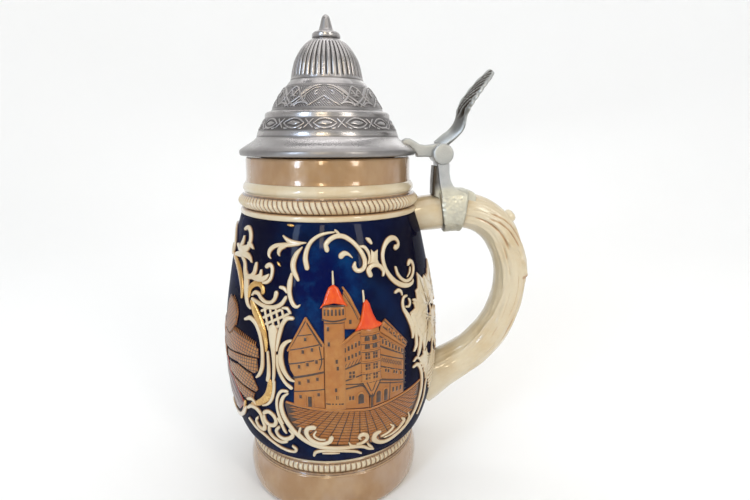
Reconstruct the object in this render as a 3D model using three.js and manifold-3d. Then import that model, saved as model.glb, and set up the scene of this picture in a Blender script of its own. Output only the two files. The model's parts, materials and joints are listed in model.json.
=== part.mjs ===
// A half-litre stoneware beer stein with a pewter lid, in millimetres, +Z up.
//
// The origin is the centre of the flat base. The handle points along +X, and the lid hinge turns
// about an axis along Y that lies above the handle. Everything round is built about the Z axis.

import * as THREE from 'three';
import { mergeVertices } from 'three/addons/utils/BufferGeometryUtils.js';
import Module from 'manifold-3d';

const wasm = await Module();
wasm.setup();

// ---------------------------------------------------------------- driving dimensions

const GAP = 0.3;                 // air between two pieces that touch on the real object
const ROUND = 48;                // facets of the large turned pieces
const SMALL_ROUND = 24;          // facets of the hinge pieces

const LIP_HEIGHT = 141.6;        // top edge of the stoneware
const LIP_RADIUS = 33.6;
const MOUTH_RADIUS = 28.9;       // clear bore of the mouth
const BELLY_RADIUS = 46.6;       // widest place of the belly, relief included
const BELLY_HEIGHT = 60;         // height of that place
const SHOULDER_RADIUS = 36.4;    // where the belly meets the moulded neck
const SHOULDER_HEIGHT = 119.7;
const WAIST_RADIUS = 34.5;       // where the belly meets the foot
const WAIST_HEIGHT = 22.3;
const FOOT_RADIUS = 38.2;
const FOOT_HEIGHT = 16.4;        // top of the plain flared foot
const BASE_RADIUS = 35.2;        // flat face that the stein stands on
const FLOOR_HEIGHT = 7.0;        // inside floor above the table
const CAVITY_RADIUS = 41.1;      // inside of the belly at its widest

const HANDLE_ROUND = 16;         // facets round the handle
const HANDLE_STEPS = 32;         // stations along the handle
const HANDLE_WIDTH_RATIO = 0.95; // sideways half width over in-plane half thickness

const PIN = new THREE.Vector3(46.5, 0, 142.5);
const PIN_RADIUS = 1.5;
const PIN_BORE = 1.6;            // running clearance of 0.1 round the pin
const KNUCKLE_RADIUS = 4.6;
const KNUCKLE_HALF = 4.5;        // half width of the lid's knuckle
const EAR_INNER = 4.8;           // the two ears of the shank run from here ...
const EAR_OUTER = 8.0;           // ... to here, on each side
const CAP_THICKNESS = 1.1;       // soldered disc over each end of the pin

const LID_REST = LIP_HEIGHT + GAP;   // underside of the lid's flange
const FLANGE_RADIUS = 35.8;
const LOCATING_RADIUS = 27.4;        // ring under the lid that drops into the mouth
const LOCATING_DEPTH = 3.2;
const LID_WALL = 1.5;
const CROWN_HEIGHT = 186.6;          // top of the fluted dome
const TIP_HEIGHT = 195.8;

const BAND_START = 47.6;         // the strap round the handle, along X
const BAND_END = 56.4;
const BAND_WALL = 1.6;
const SADDLE_SPLIT = 123.2;      // above this height the strap belongs to the shank's saddle

// ---------------------------------------------------------------- materials

const glaze = (color) => new THREE.MeshStandardMaterial({ color, roughness: 0.12, metalness: 0.0 });
const pewter = (color, roughness) => new THREE.MeshStandardMaterial({ color, roughness, metalness: 1.0 });

// ---------------------------------------------------------------- helpers

const v2 = (x, y) => new THREE.Vector2(x, y);

/** A closed three.js geometry as a manifold solid. */
function solid(geometry) {
  const bare = geometry.clone();
  bare.deleteAttribute('normal');
  bare.deleteAttribute('uv');
  const merged = mergeVertices(bare, 1e-4);
  const vertProperties = new Float32Array(merged.attributes.position.array);
  const triVerts = new Uint32Array(merged.index.array);
  return new wasm.Manifold(new wasm.Mesh({ numProp: 3, vertProperties, triVerts }));
}

/** A manifold solid as a three.js geometry. */
function geometryOf(body) {
  const mesh = body.getMesh();
  const geometry = new THREE.BufferGeometry();
  geometry.setAttribute('position', new THREE.BufferAttribute(mesh.vertProperties, 3));
  geometry.setIndex(new THREE.BufferAttribute(mesh.triVerts, 1));
  geometry.computeVertexNormals();
  return geometry;
}

/** Turns a profile of (radius, height) points about the Z axis. */
function turned(profile, facets = ROUND) {
  return new THREE.LatheGeometry(profile, facets).rotateX(Math.PI / 2);
}

/** Points of an arc that bulges outward by depth between two heights at one radius. */
function bead(radius, low, high, depth, count = 3) {
  const points = [];
  for (let i = 0; i <= count; i += 1) {
    const t = i / count;
    points.push(v2(radius + depth * Math.sin(Math.PI * t), low + (high - low) * t));
  }
  return points;
}

/** Points along a smooth curve through the given ones. */
function smooth(points, count) {
  return new THREE.SplineCurve(points).getPoints(count);
}

/** An outline in the XZ plane as a plate between two Y values. */
function plate(outline, yLow, yHigh) {
  const geometry = new THREE.ExtrudeGeometry(outline, {
    depth: yHigh - yLow,
    bevelEnabled: false,
    curveSegments: 8,
  });
  return geometry.rotateX(Math.PI / 2).translate(0, yHigh, 0);
}

/** A round bar along Y, centred on the hinge axis. */
function hingeBar(radius, yLow, yHigh, facets = SMALL_ROUND) {
  const bar = new THREE.CylinderGeometry(radius, radius, yHigh - yLow, facets);
  return bar.translate(PIN.x, (yLow + yHigh) / 2, PIN.z);
}

/** A box between two corners. */
function block(low, high) {
  const size = high.map((value, axis) => value - low[axis]);
  const box = new THREE.BoxGeometry(...size);
  return box.translate(low[0] + size[0] / 2, low[1] + size[1] / 2, low[2] + size[2] / 2);
}

/**
 * Joins rings of equal point count into one closed skin with flat ends.
 * The rings run along the piece, and each goes round it in the same sense.
 */
function skin(rings) {
  const around = rings[0].length;
  const positions = [];
  const index = [];
  rings.forEach((ring) => ring.forEach((p) => positions.push(p.x, p.y, p.z)));
  for (let i = 0; i < rings.length - 1; i += 1) {
    for (let j = 0; j < around; j += 1) {
      const a = i * around + j;
      const b = i * around + ((j + 1) % around);
      index.push(a, a + around, b, b, a + around, b + around);
    }
  }
  const last = (rings.length - 1) * around;
  for (let j = 1; j < around - 1; j += 1) {
    index.push(0, j, j + 1);
    index.push(last, last + j + 1, last + j);
  }
  const geometry = new THREE.BufferGeometry();
  geometry.setAttribute('position', new THREE.Float32BufferAttribute(positions, 3));
  geometry.setIndex(index);
  geometry.computeVertexNormals();
  return geometry;
}

// ---------------------------------------------------------------- stoneware body

/** The outside from the base up to the lip, grown outward by the given amount. */
function bodyOutline(grow = 0) {
  const belly = smooth([
    v2(WAIST_RADIUS, WAIST_HEIGHT),
    v2(39.6, 26.2),
    v2(43.1, 34),
    v2(45.6, 45),
    v2(BELLY_RADIUS, BELLY_HEIGHT),
    v2(45.5, 77.5),
    v2(42.7, 95),
    v2(40.0, 107.5),
    v2(38.1, 115),
    v2(SHOULDER_RADIUS, SHOULDER_HEIGHT),
  ], 14);
  const points = [
    v2(BASE_RADIUS, 0),
    v2(37.0, 0.9),
    v2(37.9, 3.4),
    v2(FOOT_RADIUS, 8),
    v2(37.7, 12.5),
    v2(36.4, FOOT_HEIGHT),
    ...bead(35.3, 17.4, 21.4, 1.2),
    ...belly,
    v2(36.4, 121.6),
    ...bead(35.3, 122.1, 127.1, 1.9, 4),
    ...bead(34.2, 127.6, 131.6, 1.0),
    v2(33.8, 132),
    v2(LIP_RADIUS, LIP_HEIGHT - 0.6),
  ];
  return points.map((p) => v2(p.x + grow, p.y));
}

/** The inside from the lip down to the edge of the floor. */
function cavityOutline() {
  const wall = smooth([
    v2(MOUTH_RADIUS, 122),
    v2(31.0, 114),
    v2(34.9, 102),
    v2(38.7, 86),
    v2(CAVITY_RADIUS, BELLY_HEIGHT),
    v2(39.5, 42),
    v2(35.2, 28),
    v2(31.2, 17),
    v2(29.2, 10.0),
  ], 9);
  return [
    v2(LIP_RADIUS - 0.8, LIP_HEIGHT),
    v2(MOUTH_RADIUS + 0.8, LIP_HEIGHT),
    v2(MOUTH_RADIUS, LIP_HEIGHT - 0.8),
    ...wall,
    v2(26.6, FLOOR_HEIGHT),
  ];
}

function stonewareBody() {
  return turned([v2(0, 0), ...bodyOutline(), ...cavityOutline(), v2(0, FLOOR_HEIGHT)]);
}

/** The body without its cavity, a little larger, to trim what is fixed against it. */
function bodyEnvelope() {
  return turned([v2(0, -5), v2(BASE_RADIUS, -5), ...bodyOutline(GAP), v2(0, LIP_HEIGHT)]);
}

// ---------------------------------------------------------------- branch handle

// Stations of the handle's centre line from the neck to the belly: x, z, in-plane half thickness.
const HANDLE_STATIONS = [
  [32.0, 116.8, 7.6],
  [45.0, 118.3, 7.5],
  [54.0, 119.2, 7.5],
  [63.0, 117.4, 7.4],
  [70.5, 112.4, 7.4],
  [75.3, 105.0, 7.3],
  [78.0, 96.5, 7.1],
  [78.7, 88.5, 7.2],
  [77.6, 79.5, 7.3],
  [74.6, 70.6, 7.5],
  [69.4, 62.2, 7.8],
  [63.0, 55.4, 8.0],
  [56.2, 50.4, 8.4],
  [49.3, 46.2, 9.1],
  [42.5, 42.0, 10.6],
  [35.0, 38.2, 12.0],
];

const handleLine = new THREE.CatmullRomCurve3(
  HANDLE_STATIONS.map(([x, z]) => new THREE.Vector3(x, 0, z)),
  false,
  'centripetal',
);
const handleHalf = new THREE.SplineCurve(
  HANDLE_STATIONS.map(([, , half], i) => v2(i, half)),
);

/** One section of the handle at parameter t, grown outward by the given amount. */
function handleSection(t, grow) {
  const centre = handleLine.getPoint(t);
  const along = handleLine.getTangent(t);
  const across = new THREE.Vector3(-along.z, 0, along.x);
  const half = handleHalf.getPoint(t).y + grow;
  const wide = (half - grow) * HANDLE_WIDTH_RATIO + grow;
  const ring = [];
  for (let j = 0; j < HANDLE_ROUND; j += 1) {
    const angle = (2 * Math.PI * j) / HANDLE_ROUND;
    const point = centre.clone().addScaledVector(across, half * Math.cos(angle));
    point.y = wide * Math.sin(angle);
    ring.push(point);
  }
  return ring;
}

/** The handle between two parameters. */
function handleSweep(tStart, tEnd, steps, grow = 0) {
  const rings = [];
  for (let i = 0; i <= steps; i += 1) {
    rings.push(handleSection(tStart + ((tEnd - tStart) * i) / steps, grow));
  }
  return skin(rings);
}

/** The parameter of the upper run of the handle at which its centre line reaches x. */
function handleParameterAt(x) {
  let low = 0;
  let high = 0.3;
  for (let i = 0; i < 40; i += 1) {
    const middle = (low + high) / 2;
    if (handleLine.getPoint(middle).x < x) low = middle;
    else high = middle;
  }
  return (low + high) / 2;
}

/** A short cone for the stub of a cut twig, from one point to another. */
function twigStub(from, to, baseRadius, tipRadius) {
  const length = from.distanceTo(to);
  const cone = new THREE.CylinderGeometry(tipRadius, baseRadius, length, 10);
  cone.translate(0, length / 2, 0);
  const up = new THREE.Vector3(0, 1, 0);
  cone.applyQuaternion(new THREE.Quaternion().setFromUnitVectors(up, to.clone().sub(from).normalize()));
  return cone.translate(from.x, from.y, from.z);
}

function branchHandle() {
  const stub = twigStub(new THREE.Vector3(71, 0, 112), new THREE.Vector3(78.2, 0, 117.6), 3.6, 2.2);
  const handle = solid(handleSweep(0, 1, HANDLE_STEPS)).add(solid(stub));
  return geometryOf(handle.subtract(solid(bodyEnvelope())));
}

// ---------------------------------------------------------------- strap and shank on the handle

/** A sleeve round the handle between two X values. */
function handleSleeve(xStart, xEnd, wall) {
  const tStart = handleParameterAt(xStart);
  const tEnd = handleParameterAt(xEnd);
  const margin = (tEnd - tStart) / 4;
  const outer = solid(handleSweep(tStart, tEnd, 5, GAP + wall));
  const inner = solid(handleSweep(tStart - margin, tEnd + margin, 8, GAP));
  return outer.subtract(inner);
}

function handleBand() {
  const upper = block([40, -20, SADDLE_SPLIT - GAP], [70, 20, 140]);
  return geometryOf(handleSleeve(BAND_START, BAND_END, BAND_WALL).subtract(solid(upper)));
}

/** The upright of the shank seen from the side, from the saddle to the ears. */
function shankOutline() {
  const shape = new THREE.Shape();
  shape.moveTo(BAND_START, SADDLE_SPLIT);
  shape.quadraticCurveTo(45.2, 126, 44.7, 131);
  shape.lineTo(44.3, 137);
  shape.lineTo(43.2, 139.5);
  shape.lineTo(PIN.x, PIN.z);
  shape.lineTo(50.2, 139.6);
  shape.lineTo(49.5, 137);
  shape.lineTo(49.6, 133.4);
  shape.quadraticCurveTo(50.3, 129.6, 54.8, 128.2);
  shape.lineTo(BAND_END, 126);
  shape.lineTo(BAND_END, SADDLE_SPLIT);
  return shape;
}

/** The narrow rib in front of the upright and the tongue behind it, which lie on the handle. */
function ribOutline() {
  const shape = new THREE.Shape();
  shape.moveTo(44.6, 124);
  shape.lineTo(43.6, 125.6);
  shape.lineTo(43.4, 137);
  shape.lineTo(49, 137);
  shape.lineTo(50.6, 130.4);
  shape.lineTo(55.8, 128.4);
  shape.lineTo(60.0, 127.4);
  shape.lineTo(61.2, 125.8);
  shape.lineTo(61.2, 122);
  return shape;
}

function hingeShank() {
  const upright = solid(plate(shankOutline(), -EAR_OUTER, EAR_OUTER));
  const rib = solid(plate(ribOutline(), -5.2, 5.2));
  const saddleSpace = solid(block([40, -20, SADDLE_SPLIT], [64, 20, 140]));
  const saddle = handleSleeve(BAND_START, BAND_END, BAND_WALL).intersect(saddleSpace);
  const tStart = handleParameterAt(38);
  const tEnd = handleParameterAt(68);
  const handle = solid(handleSweep(tStart, tEnd, 14, GAP));
  const knuckleSpace = solid(hingeBar(KNUCKLE_RADIUS + 0.4, -EAR_INNER, EAR_INNER));
  const ears = solid(hingeBar(KNUCKLE_RADIUS, -EAR_OUTER, EAR_OUTER));
  const bore = solid(hingeBar(PIN_BORE, -EAR_OUTER - 1, EAR_OUTER + 1));
  const body = upright.add(rib).add(ears).add(saddle);
  return geometryOf(body.subtract(handle).subtract(knuckleSpace).subtract(bore));
}

// ---------------------------------------------------------------- hinge pin and its end caps

function hingePin() {
  return hingeBar(PIN_RADIUS, -EAR_OUTER, EAR_OUTER);
}

/** A slightly domed disc soldered over one end of the pin. side is -1 or +1. */
function pinCap(side) {
  const profile = [
    v2(0, 0),
    v2(KNUCKLE_RADIUS, 0),
    v2(KNUCKLE_RADIUS, CAP_THICKNESS * 0.55),
    v2(KNUCKLE_RADIUS - 0.6, CAP_THICKNESS * 0.9),
    v2(0, CAP_THICKNESS),
  ];
  const disc = new THREE.LatheGeometry(profile, SMALL_ROUND);
  if (side < 0) disc.rotateX(Math.PI);
  return disc.translate(PIN.x, side * (EAR_OUTER + GAP), PIN.z);
}

// ---------------------------------------------------------------- pewter lid

/** The lid's outside from the rim of its flange up to the crown. */
function lidOutline() {
  return [
    v2(FLANGE_RADIUS - 0.5, LID_REST),
    v2(FLANGE_RADIUS, LID_REST + 0.8),
    v2(FLANGE_RADIUS - 0.2, 144.0),
    v2(31.0, 147.2),
    v2(28.7, 149.0),
    v2(27.7, 152.0),
    v2(24.6, 157.0),
    v2(22.4, 158.5),
    v2(21.7, 160.0),
    v2(18.0, 167.8),
    v2(15.3, 169.9),
    v2(14.5, 171.8),
    v2(13.5, 176.2),
    v2(12.2, 179.6),
    v2(9.9, 183.0),
    v2(6.0, CROWN_HEIGHT),
  ];
}

/** The hollow underneath, from the crown down to the inside of the locating ring. */
function lidHollow() {
  return [
    v2(5.2, CROWN_HEIGHT - LID_WALL),
    v2(8.8, 181.8),
    v2(11.2, 178.0),
    v2(12.6, 173.6),
    v2(13.4, 169.6),
    v2(16.2, 167.2),
    v2(20.2, 158.6),
    v2(23.0, 155.8),
    v2(26.1, 151.0),
    v2(26.8, LID_REST + 3.4),
    v2(LOCATING_RADIUS - LID_WALL, LID_REST),
    v2(LOCATING_RADIUS - LID_WALL, LID_REST - LOCATING_DEPTH),
  ];
}

function lidShell() {
  return turned([
    v2(0, CROWN_HEIGHT - LID_WALL),
    ...lidHollow(),
    v2(LOCATING_RADIUS, LID_REST - LOCATING_DEPTH),
    v2(LOCATING_RADIUS, LID_REST),
    ...lidOutline(),
    v2(0, CROWN_HEIGHT),
  ]);
}

/** The lid as a solid block, a little larger, to trim the arm that sits on it. */
function lidEnvelope() {
  const grown = lidOutline().map((p) => v2(p.x + GAP, p.y + GAP));
  const under = LID_REST - LOCATING_DEPTH;
  return turned([v2(0, under), v2(FLANGE_RADIUS + GAP, under), ...grown, v2(0, CROWN_HEIGHT + GAP)]);
}

function lidFinial() {
  const foot = CROWN_HEIGHT + GAP;
  return turned([
    v2(0, foot),
    v2(5.5, foot),
    v2(5.5, 188.4),
    v2(4.9, 189.3),
    v2(2.8, 189.9),
    v2(2.4, 191.6),
    v2(1.8, 194.0),
    v2(1.1, 195.3),
    v2(0, TIP_HEIGHT),
  ], 32);
}

// ---------------------------------------------------------------- lid arm and thumb lift

/** The arm from the flange to the knuckle, seen from the side. */
function armOutline() {
  const shape = new THREE.Shape();
  shape.moveTo(29.0, 146.6);
  shape.quadraticCurveTo(31.6, 149.4, 34.6, 148.0);
  shape.quadraticCurveTo(37.6, 145.8, 41.0, 146.0);
  shape.lineTo(44.6, 146.4);
  shape.lineTo(PIN.x, PIN.z);
  shape.lineTo(42.6, 141.3);
  shape.lineTo(30.0, 141.3);
  return shape;
}

function armBlank() {
  const bar = solid(plate(armOutline(), -KNUCKLE_HALF, KNUCKLE_HALF));
  const knuckle = solid(hingeBar(KNUCKLE_RADIUS, -KNUCKLE_HALF, KNUCKLE_HALF));
  return bar.add(knuckle);
}

function lidArm() {
  const bore = solid(hingeBar(PIN_BORE, -EAR_OUTER, EAR_OUTER));
  return geometryOf(armBlank().subtract(solid(lidEnvelope())).subtract(bore));
}

// Stations of the thumb lift from the knuckle to the tip: x, z, half width, thickness.
const THUMB_STATIONS = [
  [45.8, 144.6, 4.2, 5.2],
  [47.8, 148.2, 4.2, 4.4],
  [51.6, 152.6, 4.4, 3.2],
  [53.6, 156.8, 6.6, 2.8],
  [55.0, 160.8, 10.0, 2.6],
  [57.8, 165.2, 11.4, 2.6],
  [61.0, 169.2, 10.4, 2.5],
  [64.0, 172.4, 7.4, 2.3],
  [66.4, 175.0, 3.4, 2.0],
];
const THUMB_STEPS = 16;
const THUMB_ACROSS = 8;
const THUMB_DISH = -0.16;        // the leaf's edges bend back by this share of its half width

/** One section across the leaf: its front edge to edge, then its back the other way. */
function thumbSection(line, sizes, t) {
  const centre = line.getPoint(t);
  const along = line.getTangent(t);
  const normal = new THREE.Vector3(-along.z, 0, along.x);
  const halfWidth = sizes.getPoint(t).x;
  const thickness = sizes.getPoint(t).y;
  const point = (fraction, side) => {
    const rise = THUMB_DISH * halfWidth * fraction * fraction;
    const rim = side * (thickness / 2) * (1 - 0.45 * fraction * fraction);
    const p = centre.clone().addScaledVector(normal, rise + rim);
    p.y = halfWidth * fraction;
    return p;
  };
  const ring = [];
  for (let j = 0; j <= THUMB_ACROSS; j += 1) ring.push(point((2 * j) / THUMB_ACROSS - 1, 1));
  for (let j = 0; j <= THUMB_ACROSS; j += 1) ring.push(point(1 - (2 * j) / THUMB_ACROSS, -1));
  return ring;
}

function thumbLift() {
  const line = new THREE.CatmullRomCurve3(
    THUMB_STATIONS.map(([x, z]) => new THREE.Vector3(x, 0, z)),
  );
  const sizes = new THREE.SplineCurve(THUMB_STATIONS.map(([, , width, thick]) => v2(width, thick)));
  const rings = [];
  for (let i = 0; i <= THUMB_STEPS; i += 1) rings.push(thumbSection(line, sizes, i / THUMB_STEPS));
  const knuckle = solid(hingeBar(KNUCKLE_RADIUS + GAP, -EAR_OUTER, EAR_OUTER));
  const arm = armBlank().translate([0, 0, GAP]);
  return geometryOf(solid(skin(rings)).subtract(knuckle).subtract(arm));
}

// ---------------------------------------------------------------- assembly

const stein = new THREE.Group();

function addPiece(name, geometry, material) {
  const mesh = new THREE.Mesh(geometry, material);
  mesh.name = name;
  stein.add(mesh);
}

addPiece('stoneware_body', stonewareBody(), glaze(0x0b1030));
addPiece('branch_handle', branchHandle(), glaze(0xe4d3b2));
addPiece('handle_band', handleBand(), pewter(0xb9b6a6, 0.45));
addPiece('hinge_shank', hingeShank(), pewter(0xa8a9a8, 0.4));
addPiece('hinge_pin', hingePin(), pewter(0x8d8f92, 0.3));
addPiece('pin_cap_front', pinCap(-1), pewter(0xa8aaac, 0.35));
addPiece('pin_cap_rear', pinCap(1), pewter(0xa8aaac, 0.35));
addPiece('lid_shell', lidShell(), pewter(0x8e8c92, 0.32));
addPiece('lid_finial', lidFinial(), pewter(0x94929a, 0.3));
addPiece('lid_arm', lidArm(), pewter(0xb4b6b8, 0.38));
addPiece('thumb_lift', thumbLift(), pewter(0xa9a8a2, 0.42));

export default stein;
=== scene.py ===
"""The looks of a half-litre stoneware beer stein with a pewter lid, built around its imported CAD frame.

Lengths are millimetres until a mesh is made, which turns them into metres.
The floor, the lamps and the camera are placed in metres.
The belly's relief is drawn in a flat map: u runs round the belly and v is the height.
It is built on the half with negative Y and mirrored to the other half.
"""
import json
import math

import bmesh
import bpy
import numpy as np
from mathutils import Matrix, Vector, noise
from mathutils.geometry import delaunay_2d_cdt


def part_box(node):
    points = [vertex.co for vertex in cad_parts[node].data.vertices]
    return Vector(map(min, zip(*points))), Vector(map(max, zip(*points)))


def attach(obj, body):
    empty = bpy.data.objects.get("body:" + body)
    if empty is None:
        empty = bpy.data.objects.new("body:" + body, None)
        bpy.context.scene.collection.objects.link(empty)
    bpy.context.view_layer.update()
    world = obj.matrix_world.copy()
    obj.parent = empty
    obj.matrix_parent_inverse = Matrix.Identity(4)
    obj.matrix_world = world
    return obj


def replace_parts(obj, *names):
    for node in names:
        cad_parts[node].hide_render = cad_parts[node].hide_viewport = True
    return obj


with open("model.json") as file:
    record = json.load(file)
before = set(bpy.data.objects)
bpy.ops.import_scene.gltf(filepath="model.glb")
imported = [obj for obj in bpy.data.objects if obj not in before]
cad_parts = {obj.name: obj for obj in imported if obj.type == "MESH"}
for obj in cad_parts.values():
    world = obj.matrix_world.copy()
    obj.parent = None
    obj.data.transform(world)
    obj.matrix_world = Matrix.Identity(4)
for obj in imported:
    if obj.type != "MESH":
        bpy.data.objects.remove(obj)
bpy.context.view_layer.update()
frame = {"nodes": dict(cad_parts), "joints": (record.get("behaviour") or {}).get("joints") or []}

MM = 0.001

# ---------------------------------------------------------------- sizes taken from the frame


def box_mm(node):
    """Lowest and highest corner of a CAD node, in millimetres."""
    low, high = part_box(node)
    return low / MM, high / MM


BODY_HIGH = box_mm("stoneware_body")[1]
CAP_HIGH = box_mm("pin_cap_front")[1]
FINIAL_LOW, FINIAL_HIGH = box_mm("lid_finial")
BAND_LOW, BAND_HIGH = box_mm("handle_band")
PIN = Vector(frame["joints"][0]["pos_m"]) / MM

LIP_HEIGHT = BODY_HIGH.z
BELLY_LIMIT = BODY_HIGH.y - 0.03         # no relief stands further out than the CAD belly
EAR_OUTER = -CAP_HIGH.y - 0.3            # outside of the hinge's ears

# ---------------------------------------------------------------- shapes of the turned surfaces

# Plain belly under the relief: radius and height.
BELLY = [
    (34.5, 22.3), (39.3, 26.2), (42.6, 34.0), (44.9, 45.0), (45.8, 60.0),
    (44.8, 77.5), (42.0, 95.0), (39.4, 107.5), (37.7, 115.0), (36.2, 119.7),
]
# Inside of the vessel from the lip down to the floor.
CAVITY = [
    (28.9, 138.0), (28.9, 124.0), (31.0, 114.0), (34.9, 102.0), (38.7, 86.0), (41.0, 66.0),
    (41.1, 58.0), (39.5, 42.0), (35.2, 28.0), (31.2, 17.0), (29.2, 10.0), (26.6, 7.2),
]
# Outside of the lid from the flange's rim up to the collar.
LID = [
    (34.6, 142.0), (35.5, 142.2), (35.75, 142.9), (35.7, 143.9), (35.2, 144.5), (34.6, 144.9),
    (33.0, 146.0), (31.0, 147.2), (29.3, 148.5), (28.75, 149.3), (28.5, 150.4), (28.0, 151.6),
    (27.6, 152.2), (26.9, 153.4), (26.0, 155.0), (25.3, 156.1), (25.2, 156.7), (25.1, 157.7), (24.6, 158.5),
    (23.6, 158.9), (22.7, 159.2), (21.9, 160.6), (20.9, 162.4), (19.7, 164.4), (18.4, 166.4), (17.2, 167.9),
    (16.4, 168.6), (15.9, 169.3), (15.4, 170.0), (14.8, 170.6), (14.5, 171.4), (14.1, 173.3),
    (13.7, 175.2), (13.2, 177.1), (12.5, 179.0), (11.5, 180.8), (10.2, 182.7), (8.5, 184.6),
    (6.6, 186.1), (5.6, 186.6),
]
LID_UNDER = [
    (5.0, 185.0), (8.8, 181.8), (11.2, 178.0), (12.6, 173.6), (13.4, 169.6), (16.2, 167.2),
    (20.2, 158.6), (23.0, 155.8), (26.1, 151.0), (26.4, 145.3), (25.9, 142.2), (25.9, 139.0),
]

# ---------------------------------------------------------------- mesh tools


def blend_step(low, high, value):
    """0 below low, 1 above high and smooth between them."""
    t = min(max((value - low) / (high - low), 0.0), 1.0)
    return t * t * (3 - 2 * t)


def spline(points, step):
    """Points about one step apart on a centripetal Catmull-Rom curve through the given ones."""
    p = np.array(points, float)
    if len(p) == 2:
        count = max(2, int(np.hypot(*(p[1] - p[0])[:2]) / step) + 1)
        return np.array([p[0] + (p[1] - p[0]) * k / count for k in range(count + 1)])
    p = np.vstack([2 * p[0] - p[1], p, 2 * p[-1] - p[-2]])
    out = []
    for a, b, c, d in zip(p[:-3], p[1:-2], p[2:-1], p[3:]):
        t1 = max(np.hypot(*(b - a)[:2]), 1e-3) ** 0.5
        t2 = t1 + max(np.hypot(*(c - b)[:2]), 1e-3) ** 0.5
        t3 = t2 + max(np.hypot(*(d - c)[:2]), 1e-3) ** 0.5
        count = max(2, int(np.hypot(*(c - b)[:2]) / step) + 1)
        for k in range(count):
            t = t1 + (t2 - t1) * k / count
            ab = a + (b - a) * t / t1
            bc = b + (c - b) * (t - t1) / (t2 - t1)
            cd = c + (d - c) * (t - t2) / (t3 - t2)
            abc = ab + (bc - ab) * t / t2
            bcd = bc + (cd - bc) * (t - t1) / (t3 - t1)
            out.append(abc + (bcd - abc) * (t - t1) / (t2 - t1))
    out.append(p[-2])
    return np.array(out)


class Turned:
    """A surface of revolution that relief is laid on: u runs round it and v is the height."""

    def __init__(self, profile, reference, start, limit):
        self.profile = spline(profile, 0.6)
        self.reference = reference
        self.start = math.radians(start)
        self.limit = limit

    def point(self, u, v, lift):
        """The place at (u, v), lifted off the surface along its normal."""
        heights = self.profile[:, 1]
        radius = np.interp(v, heights, self.profile[:, 0])
        below, above = np.interp((v - 0.5, v + 0.5), heights, self.profile[:, 0])
        slope = above - below
        steep = math.hypot(1.0, slope)
        out = min(radius + lift / steep, self.limit)
        azimuth = self.start + u / self.reference
        return Vector((out * math.cos(azimuth), out * math.sin(azimuth), v - lift * slope / steep))


class Mesh:
    """The vertices and faces of one piece, with a value between 0 and 1 at each vertex for stain and, in
    places, painted shade.
    """

    def __init__(self):
        self.points = []
        self.stains_and_shade = []
        self.faces = []

    def ring_faces(self, start, rows, columns):
        """Quads between rows of points that run round the piece."""
        for i in range(rows - 1):
            for j in range(columns):
                a = start + i * columns + j
                b = start + i * columns + (j + 1) % columns
                self.faces.append((a, b, b + columns, a + columns))

    def capped_rows(self, start, rows, columns):
        """Quads between the rows, and a flat face over the first and the last row."""
        self.ring_faces(start, rows, columns)
        last = start + (rows - 1) * columns
        self.faces.append(tuple(start + j for j in reversed(range(columns))))
        self.faces.append(tuple(last + j for j in range(columns)))

    def looped_rows(self, start, rows, columns):
        """Quads between the rows and from the last row back to the first."""
        self.ring_faces(start, rows, columns)
        last = start + (rows - 1) * columns
        for j in range(columns):
            beside = (j + 1) % columns
            self.faces.append((last + j, last + beside, start + beside, start + j))

    def mirror(self):
        """Adds the same shapes on the other side of the plane through the axis and the handle."""
        start = len(self.points)
        self.points += [Vector((p.x, -p.y, p.z)) for p in self.points]
        self.stains_and_shade += self.stains_and_shade[:]
        self.faces += [tuple(start + i for i in reversed(face)) for face in self.faces]

    def piece(self, name, material, slot, body):
        """Makes the Blender object, which rides on a CAD body."""
        data = bpy.data.meshes.new(name)
        data.from_pydata([p * MM for p in self.points], [], self.faces)
        data.validate()
        # The stain attribute holds stain and, in places, painted shade.
        stain = data.attributes.new("stain", "FLOAT", "POINT")
        stain.data.foreach_set("value", np.array(self.stains_and_shade, np.float32))
        data.polygons.foreach_set("use_smooth", [True] * len(data.polygons))
        data.materials.append(material)
        data.update()
        made = bpy.data.objects.new(name, data)
        bpy.context.scene.collection.objects.link(made)
        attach(made, body)
        return made


# Section of a raised stroke: sideways share of the half width, share of the height, stain. The stain is
# full at the foot and about half on the flanks: stain gathered there (patina on the pewter), which on the
# glazed relief is also painted shade at the foot and on the sides.
STROKE_SECTION = [
    (-1.0, -0.25, 1.0), (-1.0, 0.12, 1.0), (-0.9, 0.55, 0.55), (-0.66, 0.86, 0.05), (-0.25, 0.99, 0.0),
    (0.25, 0.99, 0.0), (0.66, 0.86, 0.05), (0.9, 0.55, 0.55), (1.0, 0.12, 1.0), (1.0, -0.25, 1.0),
]


def stroke(mesh, surface, path, height=0.9, base=0.0, step=0.7, stain=1.0):
    """A raised line with round ends. The path holds u, v and the full width at each point."""
    line = spline(path, step)
    tangents = np.gradient(line[:, :2], axis=0)
    tangents /= np.maximum(np.hypot(tangents[:, 0], tangents[:, 1]), 1e-6)[:, None]
    rows = []
    for end, sense in ((0, -1), (len(line) - 1, 1)):
        caps = []
        for angle in (80, 50, 25):
            reach = line[end, 2] / 2 * math.sin(math.radians(angle))
            half = line[end, 2] / 2 * math.cos(math.radians(angle))
            place = line[end, :2] + tangents[end] * reach * sense
            caps.append((place[0], place[1], tangents[end], half))
        rows.append(caps if sense < 0 else caps[::-1])
    middle = [(p[0], p[1], t, p[2] / 2) for p, t in zip(line, tangents)]
    stations = rows[0] + middle + rows[1]
    start = len(mesh.points)
    for u, v, tangent, half in stations:
        level = base(u, v) if callable(base) else base
        rise = height * min(1.0, 0.35 + 1.3 * half)
        if half < 0.25:
            rise *= 0.6 + 1.6 * half
        for side, share, dark in STROKE_SECTION:
            place = surface.point(u + tangent[1] * side * half, v - tangent[0] * side * half,
                                  level + (rise * share if share > 0 else share))
            mesh.points.append(place)
            mesh.stains_and_shade.append(dark * stain)
    mesh.capped_rows(start, len(stations), len(STROKE_SECTION))


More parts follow.
